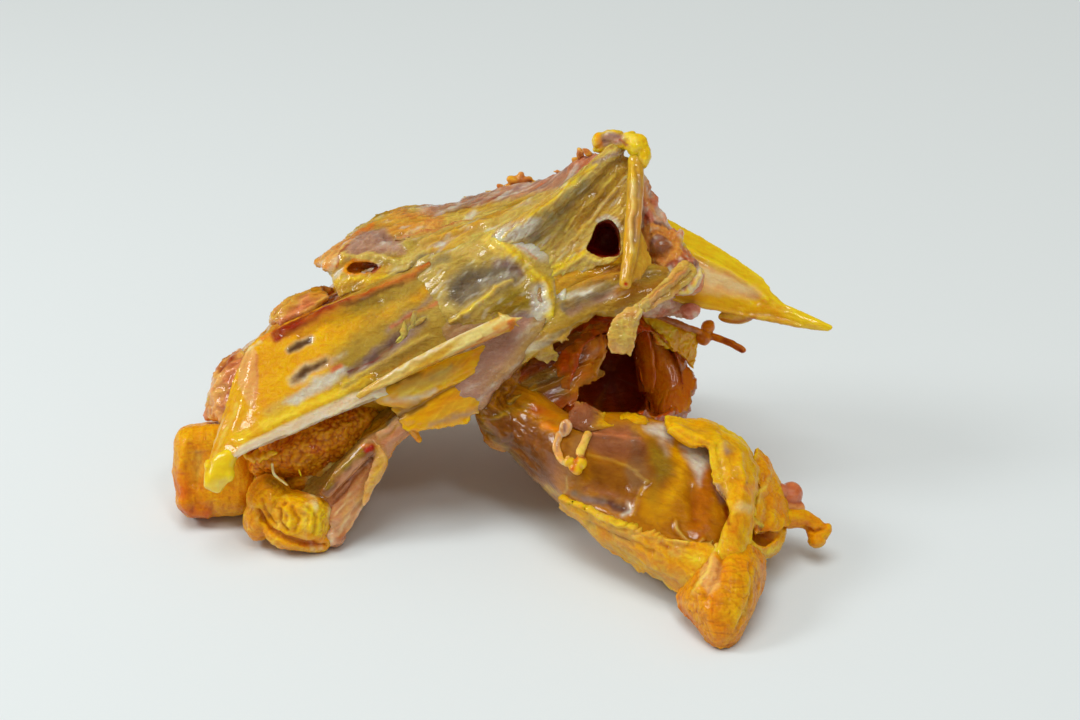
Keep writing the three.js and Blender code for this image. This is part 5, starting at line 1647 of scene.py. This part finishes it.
def far_meat():
    """The meat behind the plate, and the two flaps that stand out beyond its upper edge."""
    forms = [limb(BLOCK_TO_RIBS, sides=40)]
    forms += [sheet(FAR_FLAP, 3.4, back=3, ragged=0.8), sheet(LEFT_FLAP, 3.4, back=3, ragged=0.8)]
    forms += crumbs([(312, 292, -22), (328, 288, -23)], 4, 2, 22, 2)
    piece = Flesh("far_meat", forms, 0.62, smoothing=3, seed=15, grain=UPPER_GRAIN)
    piece.knead((0.9, 6, 2), (0.5, 2.4, 2))
    piece.fill("peach")
    piece.mottles(
        ("salmon", 5, 0.5, 0.8, 1, 2),
        ("honey", 4, 0.35, 0.8, 2, 2),
        ("meat", 3.5, 0.3, 0.7, 3, 2),
    )
    piece.strokes(
        ("salmon", 4, [(278, 322), (296, 306), (312, 298)], 5, 0.8, "all"),
        ("rust", 1.5, [(296, 318), (312, 308), (324, 300)], 4, 0.7, "all"),
        ("gold", 4, [(312, 292), (326, 290)], 5, 0.8, "all"),
        ("brick", 3, [(222, 370), (232, 356)], 4, 0.9, "all"),
        ("peach", 5, [(212, 410), (222, 390)], 7, 0.85, "all"),
    )
    piece.patch("olive", [(330, 440), (350, 405), (400, 385), (430, 400), (400, 425), (360, 440)], 8, 0.95)
    piece.stroke("honey", 3, [(350, 424), (384, 410), (412, 404)], 8, 0.7)
    piece.done(MEAT, 1.3, 0.55)


def rib_basket():
    """The hollow behind the breast: dark red inside, between an orange wall and a torn flap."""
    forms = [body(RIB_BASKET, ribs=4), sheet(BASKET_WALL, 3, ragged=0.8)]
    cuts = [bore(BASKET_TEAR, 14, -52, 0.8), bore(BASKET_DISH, 8, -42, 0.85)]
    piece = Flesh("rib_basket", forms, 0.68, cuts=cuts, seed=16, grain=-UP)
    piece.knead((0.8, 7), (0.45, 2.6))
    piece.fill("salmon")
    piece.mottle("meat", 8, 0.45, 0.7, 1)
    piece.mottle("peach", 5, 0.35, 0.6, 2)
    piece.crease_and_shade(0.2, 4, "rust", 0.3, 3)
    for level in range(316, 424, 18):
        rib = [(516, level), (610, level + 9), (704, level + 3)]
        piece.ridge(1.2, 4, rib, "back")
        piece.stroke("pearl", 1.5, rib, 7, 0.55, "back")
    piece.fill("rind", "front")
    piece.mottle("amber", 4, 0.5, 0.7, 5, 1.0, "front")
    inner = ease((piece.inside(BASKET_TEAR, 0.2) + 3) / 6)
    piece.lay("rind", inner)
    piece.mottle("tangerine", 4, 0.4, 0.9, 3, 3, "all", inner)
    piece.mottle("blood", 4, 0.4, 0.8, 4, 3, "all", inner)
    piece.stroke("mist", 1.5, [(634, 390), (640, 388)], 4, 0.6, "all")
    piece.done(MEAT, 1.3, 0.55)


def basket_lining():
    """The orange folds on the hollow's right wall."""
    piece = Flesh("basket_lining", [sheet(LINING, 2.4, along=110, across=80, ragged=0.8)], None, seed=34,
        grain=-UP)
    piece.knead((0.6, 6, 3), (0.3, 2, 3))
    piece.ridges(
        (-1.4, 3, [(650, 338), (658, 360), (660, 386)]),
        (1.2, 3, [(664, 346), (676, 370), (676, 400)]),
        (1.2, 3, [(684, 352), (692, 382), (687, 408)]),
    )
    piece.fill("tangerine")
    piece.mottle("rind", 5, 0.4, 0.6, 1, 3)
    piece.strokes(
        # Painted shade: blood red in the deep fold.
        ("blood", 2, [(646, 336), (656, 360), (658, 388)], 4, 0.9),
        ("rust", 1.5, [(662, 350), (672, 374), (666, 404)], 5, 0.7),
        ("brick", 1.4, [(676, 386), (682, 384)], 4, 0.8),
        ("brick", 1.2, [(668, 404), (676, 402)], 4, 0.8),
        ("lemon", 2, [(682, 352), (692, 378), (690, 396)], 6, 0.9),
        ("skin", 3, [(676, 372), (686, 392), (682, 408)], 7, 0.8),
    )
    piece.done(MEAT, 1.3)


def rib_fold():
    """The fold that stands between the hollow and its lining."""
    piece = Flesh("rib_fold", [sheet(RIB_FOLD, 2.2, back=2, along=60, across=30, ragged=0.5)], None,
        seed=38, grain=-UP)
    piece.rumple(0.5, 4, 1, 3)
    piece.fill("tangerine")
    piece.mottle("rind", 4, 0.4, 0.7, 1, 3)
    piece.stroke("skin", 1.5, [(640, 338), (644, 360), (644, 386)], 3, 0.8)
    piece.done(MEAT, 1.3)


def basket_corner():
    """The yellow corner of fat over the hollow."""
    piece = Flesh("basket_corner", [sheet(BASKET_CORNER, 3, along=90, across=50, ragged=0.8)], None,
        seed=30)
    piece.knead((0.5, 4), (0.2, 1.8))
    piece.ridge(0.7, 2, [(650, 322), (668, 340), (680, 360)])
    piece.fill("yolk")
    piece.mottle("lemon", 4, 0.5, 0.9, 1)
    piece.strokes(
        ("brown", 2, [(648, 322), (660, 326)], 6, 0.5),
        ("rind", 1.4, [(644, 323), (660, 345), (682, 368)], 3, 0.95, "all"),
        ("blood", 1.2, [(676, 363), (684, 367)], 3, 0.9, "all"),
        ("lemon", 1.5, [(650, 320), (672, 322), (697, 333)], 3, 0.8, "all"),
    )
    piece.done(WAXY)


def side_flap():
    """The torn flap of dark meat at the hollow's left."""
    piece = Flesh("side_flap", [sheet(SIDE_FLAP, 2.4, along=160, across=104, ragged=1.6)], None, seed=17,
        grain=UPPER_GRAIN)
    piece.knead((0.7, 8, 2), (0.15, 2.6, 3))
    piece.ridges(
        (1.2, 3, [(508, 404), (530, 392), (556, 380), (590, 364)]),
        (-1.2, 5, [(522, 384), (545, 366), (572, 350)]),
        (0.9, 2.5, [(600, 330), (603, 352), (596, 372)]),
    )
    piece.fill("ochre")
    piece.mottle("brown", 5, 0.4, 0.7, 1, 2)
    piece.mottle("dusk", 4, 0.35, 0.7, 5, 3)
    piece.strokes(
        ("blood", 4, [(522, 376), (545, 360), (566, 350)], 8, 0.8),
        ("umber", 3, [(528, 370), (556, 354)], 6, 0.5),
        ("brown", 4, [(540, 384), (562, 370), (582, 352)], 7, 0.8),
        ("sage", 2, [(524, 390), (546, 378), (566, 364)], 5, 0.7),
        ("straw", 1, [(548, 374), (556, 368)], 3, 0.6),
        ("lilac", 1.6, [(546, 394), (562, 382)], 5, 0.7),
        ("tangerine", 7, [(588, 332), (598, 348), (590, 372), (572, 388)], 8, 0.95),
        ("mist", 1.2, [(590, 356), (598, 346)], 5, 0.4),
        ("skin", 1.2, [(606, 338), (603, 360), (594, 384), (572, 392)], 3, 0.8, "all"),
        ("rust", 5, [(536, 412), (560, 400)], 8, 0.8),
        ("olive", 2.5, [(506, 408), (524, 398), (534, 390)], 4, 0.8),
        ("gold", 1.2, [(508, 404), (524, 398), (534, 386)], 3, 0.8),
    )
    piece.done(MEAT, 1.4)


def marrow_rod():
    """The red rod that sticks out at the right, with its two knobs."""
    forms = [lump((708, 327, -30), (2.4, 2.2, 2.8), 20), lump((703, 337, -30), (3, 2.6, 2.8), -20),
        limb(MARROW_ROD)]
    forms += [limb([(656, 316, -18, 0.9, 0.9), (678, 324, -22, 1.1, 1.1), (700, 332, -28, 1.2, 1.2)])]
    piece = Flesh("marrow_rod", forms, 0.32, smoothing=2, seed=18)
    piece.rumple(0.3, 2.4, 1)
    piece.fill("tangerine")
    piece.mottle("ochre", 2.5, 0.4, 0.7, 1)
    piece.strokes(
        ("rust", 3, [(722, 338), (744, 350)], 3, 0.95, "all"),
        ("brick", 1, [(740, 349), (746, 353)], 2, 0.8, "all"),
        ("rose", 4, [(654, 315), (676, 323), (694, 330)], 4, 0.9, "all"),
        ("skin", 2, [(714, 335), (719, 337)], 2, 0.7, "all"),
    )
    piece.done(WAXY, share=0.8)


def pelvis():
    """The pelvis in its clear membrane: rose-brown meat shows through on the left, amber fat on the right."""
    piece = Flesh("pelvis", [body(PELVIS, ribs=4), limb(BEND)], 0.56, smoothing=4, seed=19,
        grain=PELVIS_GRAIN)
    pocket = [(676, 522), (678, 531), (686, 541), (698, 546), (704, 540)]
    cross_seam = [(646, 481), (636, 497), (632, 516)]
    top_seam = [(594, 432), (616, 435), (640, 439)]
    seam = [(588, 455), (606, 457), (626, 465), (647, 481)]
    piece.knead((0.5, 9, 2), (0.06, 2.6, 3))
    piece.ridges(
        (1.0, 2.2, pocket),
        (-1.2, 6, [(598, 500), (620, 508)]),
        (0.4, 2, seam),
        (0.35, 2.2, cross_seam),
    )
    bent = piece.past(ACROSS, 545, -12)
    piece.rumple(0.6, 3, 3, 4, "front", bent)
    piece.rumple(0.3, 1.8, 4, 4, "front", bent, folded=True)
    piece.ridges(
        (0.5, 2, top_seam),
        (-1.0, 8, [(610, 446), (640, 452)]),
        (-0.8, 8, [(600, 482), (622, 488)]),
        (-1.0, 6, [(690, 490), (696, 520)]),
    )
    piece.fill("amber")
    piece.fill("gold", "back")
    piece.mottle("meat", 9, 0.45, 0.7, 1, 2, "back")
    piece.mottle("honey", 6, 0.3, 0.6, 2, 2, "back")
    piece.patch("rose", [(582, 424), (634, 424), (648, 446), (640, 462), (612, 458), (590, 450)], 10, 0.95)
    piece.stroke("salmon", 2, [(600, 428), (626, 434)], 8, 0.5)
    piece.patch("brown", [(634, 442), (664, 442), (672, 466), (660, 486), (644, 474), (628, 462)], 12, 0.7)
    piece.patch("olive", [(650, 446), (670, 450), (672, 474), (656, 478)], 12, 0.6)
    piece.patch("brown", [(590, 460), (622, 464), (644, 482), (630, 504), (604, 494), (586, 484)], 10, 0.65)
    piece.strokes(
        ("rose", 4, [(588, 486), (610, 494), (626, 500)], 7, 0.8),
        ("smoke", 3, [(574, 492), (592, 498), (604, 500)], 6, 0.85),
        ("lilac", 2, [(584, 496), (600, 501)], 5, 0.8),
    )
    piece.patch("gold", [(640, 490), (668, 492), (676, 516), (660, 526), (640, 518)], 12, 0.6)
    piece.stroke("yolk", 5, [(676, 440), (681, 462), (676, 486), (668, 500)], 12, 0.75)
    piece.patch("ochre", [(696, 468), (711, 460), (712, 530), (700, 544), (690, 530), (692, 490)], 10, 0.6)
    piece.stroke("gold", 5, [(634, 426), (650, 432)], 8, 0.85)
    piece.patch("mist", [(644, 428), (664, 425), (674, 434), (672, 444), (660, 438), (652, 437)], 9, 0.95)
    piece.stroke("mist", 1.5, [(660, 440), (668, 454)], 9, 0.5)
    piece.patch("mist", [(682, 446), (706, 442), (712, 454), (706, 466), (700, 486), (694, 472),
        (688, 460)], 11, 0.9)
    fatty = piece.around([(694, 450), (700, 476)], 20)
    piece.mottle("honey", 2.5, 0.3, 0.5, 12, 3, "front", fatty)
    piece.strokes(
        ("lilac", 4, [(716, 486), (722, 500)], 5, 0.9),
        ("brick", 1.6, [(727, 508), (728, 524)], 3, 0.9),
        ("lilac", 2, [(704, 446), (710, 450)], 4, 0.6),
        ("plum", 3, [(607, 502, 0), (616, 507, 2), (622, 510, 2)], 4, 1.0),
        ("umber", 0.6, [(612, 505), (620, 509)], 3, 0.8),
        ("mist", 2.2, [(624, 504), (628, 510), (622, 517)], 5, 0.8),
        ("lilac", 1, [(600, 505), (616, 515)], 3, 0.7),
        ("straw", 1.2, pocket, 2.4, 0.8, "front", 0.4),
        ("dusk", 1, seam, 3, 0.6, "front", 0.5),
        ("dusk", 1, cross_seam, 3, 0.45, "front", 0.5),
        ("salmon", 1, top_seam, 3, 0.5, "front", 0.5),
        ("straw", 0.6, [(566, 478), (564, 496)], 2, 0.8),
        ("brown", 4, [(566, 440), (566, 454)], 5, 0.9),
    )
    piece.patch("brown", [(484, 408), (500, 412), (540, 430), (552, 452), (556, 490), (520, 462),
        (490, 432)], 9, 0.85)
    piece.strokes(
        ("rose", 5, [(520, 430), (544, 452), (558, 478)], 9, 0.6),
        ("umber", 3, [(500, 424), (524, 446), (546, 476)], 8, 0.5),
        ("olive", 2.5, [(480, 410), (484, 426), (512, 454), (545, 490)], 5, 0.75, "all"),
        ("brown", 10, [(500, 420), (528, 428), (546, 452)], 10, 0.8),
        ("olive", 3, [(494, 418), (509, 411), (528, 405)], 5, 0.8),
        ("gold", 1, [(497, 418), (509, 411), (528, 405)], 3, 0.7),
    )
    piece.mottle("umber", 3, 0.3, 0.5, 9, 5, "front", bent)
    piece.strokes(
        ("lilac", 4, [(478, 405), (490, 384), (504, 364)], 6, 0.8, "all"),
        ("rust", 4, [(534, 408), (552, 416)], 6, 0.8),
        ("tangerine", 3, [(540, 426), (556, 432)], 5, 0.9),
        ("brick", 1, [(538, 424), (552, 424)], 3, 0.9),
        ("lemon", 2.5, [(548, 486), (566, 502)], 4, 0.7, "all"),
    )
    piece.crease_and_shade(0.05, 2.2, "brown", 0.18, 3, 4, piece.side_weight("front"))
    # Grey vertical streaks over the pane: partly the membrane's own streaks and partly painted sheen.
    pane = piece.within([(574, 430), (640, 424), (648, 480), (632, 516), (590, 500), (566, 480)], 14, 0.5)
    piece.mottle("smoke", 6, 0.45, 0.35, 10, 3, "front", pane, grain=-UP)
    piece.stroke("olive", 4, [(654, 440), (658, 466), (650, 500)], 12, 0.45)
    piece.stroke("brown", 3, [(610, 452), (640, 462)], 9, 0.45)
    piece.done(PELVIS_SKIN, 1.2, 0.7)


def pelvis_rim():
    """The torn rim of fat over the pelvis."""
    piece = Flesh("pelvis_rim", [sheet(PELVIS_RIM, 1.8, along=110, across=24, ragged=0.9)], None, seed=39)
    piece.knead((0.6, 4), (0.3, 1.8))
    piece.fill("yolk")
    piece.mottle("lemon", 3, 0.3, 0.6, 1)
    piece.patch("rose", [(560, 430), (566, 404), (590, 398), (600, 412), (598, 434)], 8, 1.0, "all")
    piece.stroke("salmon", 1, [(576, 408), (586, 404), (596, 410)], 3, 0.8, "all")
    piece.stroke("brown", 1, [(578, 420), (590, 426)], 4, 0.7)
    piece.done(MEAT)


def pelvis_fat():
    """The pelvis's two cut stubs and the fat where they meet."""
    forms = [lump((565.5, 428, 14.5), (1.9, 2.9, 1.3), -8)]
    forms += [limb([(560, 434, 14.5, 1.2, 0.7), (556.5, 446, 15.5, 1.5, 0.7), (559, 456, 17, 1.3, 0.7),
        (564, 463, 19, 1, 0.7)])]
    forms += [limb([(588, 434, 14.5, 1.3, 0.9), (584, 444, 17, 1.4, 0.9), (580, 455, 19.5, 1.6, 1)])]
    forms += [lump((569, 462, 20), (2, 1.6, 1.6), 20), lump((581, 462, 21), (1.9, 2.1, 1.6)),
        lump((575, 469, 21), (2.2, 1.7, 1.6), -20)]
    forms += crumbs([(566, 464, 20), (576, 458, 21), (586, 466, 21)], 7, 0.9, 20, 1.5)
    piece = Flesh("pelvis_fat", forms, 0.32, smoothing=2, seed=20)
    piece.rumple(0.3, 2.4, 1)
    piece.fill("peach")
    piece.mottle("rose", 2, 0.35, 0.6, 3)
    piece.strokes(
        ("pearl", 0.6, [(561, 420), (559, 430), (563, 437), (570, 434), (571, 424), (565, 418)], 2, 0.8,
            "all", 0.3),
        ("butter", 3, [(588, 440), (582, 452)], 4, 0.9, "all"),
        ("honey", 2, [(590, 432), (580, 434)], 3, 0.9, "all"),
        ("peach", 3, [(558, 436), (557, 446), (560, 460)], 4, 0.9, "all"),
        ("lilac", 0.8, [(560, 436), (559, 448)], 3, 0.7, "all"),
    )
    piece.ridge(-0.7, 3, [(565, 425), (565, 431)])
    piece.strokes(
        ("mauve", 2.4, [(565, 424), (565, 432)], 3, 1.0, "all", 0.3),
        ("plum", 0.4, [(564, 426), (565, 431)], 2, 0.7, "all", 0.3),
        ("yolk", 9, [(568, 467), (584, 466)], 5, 0.95, "all"),
    )
    piece.mottle("lemon", 2.2, 0.5, 0.8, 1, 1.0, "all", piece.past(DOWN, 454, 5))
    piece.strokes(
        ("rind", 1.4, [(578, 456), (574, 464), (572, 470)], 2.5, 0.9, "all"),
        ("brick", 1, [(581, 456), (586, 457)], 2, 0.9, "all"),
        ("cream", 2.5, [(562, 462), (564, 470)], 3, 0.8, "all"),
    )
    piece.done(WAXY, share=0.8)


def fat_apron():
    """The apron of fat below the pelvis."""
    piece = Flesh("fat_apron", [sheet(APRON, 3.4, back=3, along=160, across=64, ragged=1.2)], None,
        seed=35, grain=PELVIS_GRAIN)
    piece.knead((0.8, 6, 1.5), (0.2, 3, 2))
    piece.ridges(
        (1.2, 3, [(566, 500), (592, 511), (625, 525), (640, 529)]),
        (0.7, 3, [(646, 531), (668, 536), (690, 543)]),
        (-1.0, 3.5, [(590, 524), (624, 540), (652, 552)]),
    )
    piece.fill("yolk")
    piece.mottle("honey", 6, 0.5, 0.7, 1)
    piece.mottle("straw", 4, 0.3, 0.5, 3)
    wrinkle(piece, 2.8, 0.08, PELVIS_GRAIN)
    piece.strokes(
        ("lemon", 4, [(566, 499), (592, 511), (622, 523), (642, 529)], 7, 0.7),
        ("olive", 1, [(572, 498), (592, 506), (618, 518)], 4, 0.6),
        ("butter", 2, [(646, 530), (668, 534), (684, 538)], 4, 0.9),
        ("lemon", 5, [(684, 556), (700, 560)], 9, 0.7),
        ("brick", 1.6, [(661, 543), (667, 546)], 3, 1.0, "front", 0.4),
        ("marrow", 0.6, [(662, 543)], 2, 0.9, "front", 0.3),
        ("tangerine", 2, [(604, 534), (630, 550), (656, 566)], 6, 0.5),
    )
    piece.done(SKIN)


def tail():
    """The tail: wrinkled skin that tapers to its tip."""
    piece = Flesh("tail", [sheet(TAIL, 5, back=14, along=120, across=60, ragged=0.4)], 0.42, smoothing=3,
        seed=21, grain=TAIL_GRAIN)
    edge = [(719, 546), (712, 566), (694, 590)]
    piece.rumple(0.8, 8, 1, 2)
    piece.ridges(
        (-0.5, 2, [(748, 565), (750, 595), (738, 628)]),
        (0.9, 3, edge),
        (-0.9, 3, [(724, 552), (718, 574), (702, 594)]),
    )
    piece.fill("skin")
    piece.mottle("yolk", 7, 0.45, 0.5, 1, 2)
    wrinkle(piece, 2.3, 0.14, TAIL_GRAIN)
    piece.crease_and_shade(0.14, 2.6, "ochre", 0.35, 6, 4, grain=RIGHT)
    piece.patch("peach", [(700, 582), (704, 566), (714, 558), (722, 564), (720, 584), (708, 592)], 4, 0.9)
    piece.mottle("cream", 1.5, 0.2, 0.5, 5, 1.0, "all", piece.around([(710, 576)], 12))
    piece.strokes(
        ("butter", 1.2, edge, 3, 0.7),
        ("yolk", 8, [(736, 556), (736, 585), (728, 615)], 14, 0.7),
        ("olive", 2, [(754, 572), (750, 596), (744, 616)], 7, 0.45),
        ("lemon", 3, [(748, 576), (744, 600), (736, 622)], 7, 0.5),
        ("ochre", 3, [(724, 556), (718, 576)], 6, 0.4),
        ("rind", 1.5, [(674, 602), (692, 624), (712, 648)], 4, 0.6, "all"),
        ("peach", 2, [(674, 600), (690, 604)], 4, 0.6),
    )
    piece.done(SKIN, 1, 0.7)


def skin_margin():
    """The broad lemon margin of skin beside the pelvis."""
    piece = Flesh("skin_margin", [sheet(MARGIN, 2.6, back=2, along=170, across=64, ragged=0.7)], None,
        seed=22, grain=TAIL_GRAIN)
    piece.knead((0.6, 7), (0.1, 3))
    piece.ridges(
        (0.8, 3, [(674, 426), (694, 434), (712, 444)]),
        (-0.8, 4, [(718, 448), (722, 470), (724, 492)]),
        (0.7, 4, [(738, 458), (744, 480), (740, 502)]),
    )
    piece.fill("yolk")
    piece.mottle("lemon", 8, 0.45, 0.7, 1)
    piece.mottle("gold", 5, 0.3, 0.6, 4)
    piece.crease_and_shade(0.06, 2.4, "gold", 0.3, 3, 2)
    piece.strokes(
        ("rose", 2, [(688, 428), (706, 434)], 6, 0.35),
        ("lilac", 3, [(725, 445), (729, 452)], 6, 0.8),
        ("brick", 1.2, [(748, 483)], 2.5, 0.95),
        ("apricot", 4, [(748, 490), (756, 486)], 7, 0.8),
        ("lilac", 3, [(718, 488), (724, 498)], 5, 0.9),
        ("brick", 1.6, [(728, 508), (729, 522)], 3, 0.95, "all"),
        ("cream", 3, [(736, 506), (750, 508)], 6, 0.5),
        ("tangerine", 6, [(738, 518), (734, 536), (732, 560)], 10, 0.8),
        ("lemon", 2, [(716, 520), (718, 540), (714, 556)], 6, 0.7),
    )
    piece.done(SKIN)


def side_fold():
    """The orange leaf of skin beside the margin."""
    piece = Flesh("side_fold", [sheet(FOLD, 2.6, along=110, across=56, ragged=0.6)], None, seed=36)
    piece.rumple(0.6, 6, 1)
    piece.ridge(0.9, 3, [(754, 456), (762, 460), (768, 474)])
    piece.ridge(-1.0, 4, [(766, 496), (768, 516), (764, 530)])
    piece.fill("yolk")
    piece.mottle("tangerine", 6, 0.5, 0.7, 1)
    wrinkle(piece, 2.6, 0.1, RIGHT)
    piece.strokes(
        ("yolk", 2, [(770, 466), (779, 486), (790, 512)], 5, 0.8),
        ("butter", 0.8, [(768, 478), (759, 498), (751, 514)], 2.5, 0.7),
        ("ochre", 3, [(756, 526), (768, 534)], 6, 0.8),
    )
    piece.done(SKIN)


def skin_folds():
    """The bowl of skin beside the tail, and the curl that comes out of it."""
    forms = [sheet(BOWL, 2.4, along=90, across=24, ragged=0.5)]
    forms += [sheet(BOWL_LIP, 1.8, along=30, across=14, ragged=0.4)]
    forms += [lump((766, 534, 13), (6, 6, 6)), limb([(786, 520, 10, 3.2, 3), (801, 519, 8, 3, 2.6),
        (814, 525, 7, 3, 2.6), (818, 535, 7, 3.6, 2.8)])]
    forms += [lump((826, 530, 7), (1.6, 2.4, 1.8), -20), lump((817, 541, 8), (3, 2.4, 2.6))]
    piece = Flesh("skin_folds", forms, 0.4, smoothing=3, seed=23)
    piece.rumple(0.5, 5, 1)
    piece.ridge(-1.2, 2, [(806, 530), (814, 533), (822, 530)])
    piece.fill("yolk")
    piece.mottle("tangerine", 5, 0.4, 0.6, 1)
    wrinkle(piece, 2.4, 0.1, RIGHT)
    piece.strokes(
        ("ochre", 4, [(756, 532), (768, 538)], 6, 0.8),
        ("lemon", 4, [(746, 540), (751, 553), (764, 556), (778, 548)], 5, 0.95),
        ("lemon", 2, [(753, 518), (764, 527)], 4, 0.7),
        ("yolk", 3, [(790, 514), (806, 516), (818, 526)], 5, 0.8),
    )
    piece.done(SKIN, 1, 0.75)


def pink_knob():
    """The pink knob behind the curl."""
    forms = [lump((791, 494, 6), (3.9, 3.9, 4)), lump((779, 491, 8), (3, 2.6, 3))]
    forms += [limb([(784, 506, 8, 2.6, 2), (800, 508, 7, 2, 1.6)])]
    piece = Flesh("pink_knob", forms, 0.36, seed=24)
    piece.rumple(0.25, 4, 1)
    piece.fill("salmon")
    piece.mottle("meat", 4, 0.4, 0.6, 1)
    piece.strokes(
        ("pink", 2, [(790, 488), (794, 492)], 6, 0.7),
        ("rust", 1.5, [(780, 486), (790, 485), (800, 490)], 4, 0.6, "all"),
        ("peach", 4, [(788, 508), (804, 511)], 5, 0.9, "all"),
    )
    piece.done(MEAT, share=0.8)


def cartilage_blade():
    """The long blade at the right: clear peach cartilage inside a lemon rim."""
    forms = [sheet(BLADE, 3.6, along=200, across=60, ragged=0.4), lump(**BLADE_LOBE)]
    piece = Flesh("cartilage_blade", forms, 0.46, smoothing=3, seed=25, grain=BLADE_GRAIN)
    piece.knead((0.3, 9, 3), (0.12, 2.2, 4))
    piece.ridges(
        (0.7, 3, [(668, 238), (702, 256), (748, 282), (766, 300)]),
        (-0.6, 6, [(690, 272), (730, 288), (754, 296)]),
        (0.5, 2, [(666, 300), (710, 308), (760, 318), (800, 325)]),
    )
    piece.fill("lemon")
    piece.mottle("honey", 9, 0.4, 0.6, 1, 3)
    piece.patch("yolk", [(668, 294), (705, 292), (765, 300), (800, 316), (800, 326), (740, 316),
        (668, 302)], 6, 0.7)
    piece.patch("cream", [(676, 262), (700, 262), (750, 286), (756, 296), (705, 292), (676, 288)], 10, 0.9)
    piece.patch("peach", [(672, 258), (690, 254), (757, 286), (764, 298), (705, 294), (672, 290)], 6, 0.7)
    piece.patch("cream", [(700, 266), (752, 288), (756, 294), (706, 284)], 6, 0.5)
    piece.strokes(
        ("lemon", 4, [(664, 220), (702, 241, 4), (740, 264, 5), (764, 283, 5), (782, 305, 7),
            (832, 328, 6)], 4, 0.95, "all"),
        ("yolk", 2.5, [(690, 299), (730, 302), (765, 308)], 5, 0.8),
        ("honey", 1.2, [(664, 298), (700, 306), (760, 317), (800, 324)], 3, 0.8, "all"),
        ("butter", 1.0, [(676, 250), (706, 262), (744, 282)], 3, 0.7),
        ("ochre", 3, [(722, 318), (736, 321), (752, 318)], 4, 0.9, "all"),
        ("rust", 1, [(655, 320), (680, 326), (696, 333)], 3, 0.8, "all"),
        ("honey", 4, [(668, 240), (680, 250)], 8, 0.6),
    )
    piece.done(BLADE_WAX)


def blade_scrap():
    """A scrap of pink meat below the blade."""
    piece = Flesh("blade_scrap", [lump(**BLADE_SCRAP)], 0.35, seed=26)
    piece.rumple(0.4, 2.5, 1)
    piece.fill("pink")
    piece.stroke("pearl", 3, [(697, 315)], 5, 0.9, "all")
    piece.stroke("rust", 1.5, [(682, 312), (690, 310)], 4, 0.6, "all")
    piece.done(MEAT)


for build in (rib_cage, breastbone_plate, plate_nub, plate_rags, upper_lobe, crest_fat, centre_membrane,
              keel, keel_knobs, strut, shoulder, strap, shoulder_band, rod, side_plates, flank_membrane,
              skin_block, skin_lump, follicle_skin, skin_fat, leg_strip, far_meat, rib_basket,
              basket_lining, rib_fold, basket_corner, side_flap, marrow_rod, pelvis, pelvis_rim,
              pelvis_fat, fat_apron, tail, skin_margin, side_fold, skin_folds, pink_knob, cartilage_blade,
              blade_scrap):
    build()
stage()
bpy.context.view_layer.update()
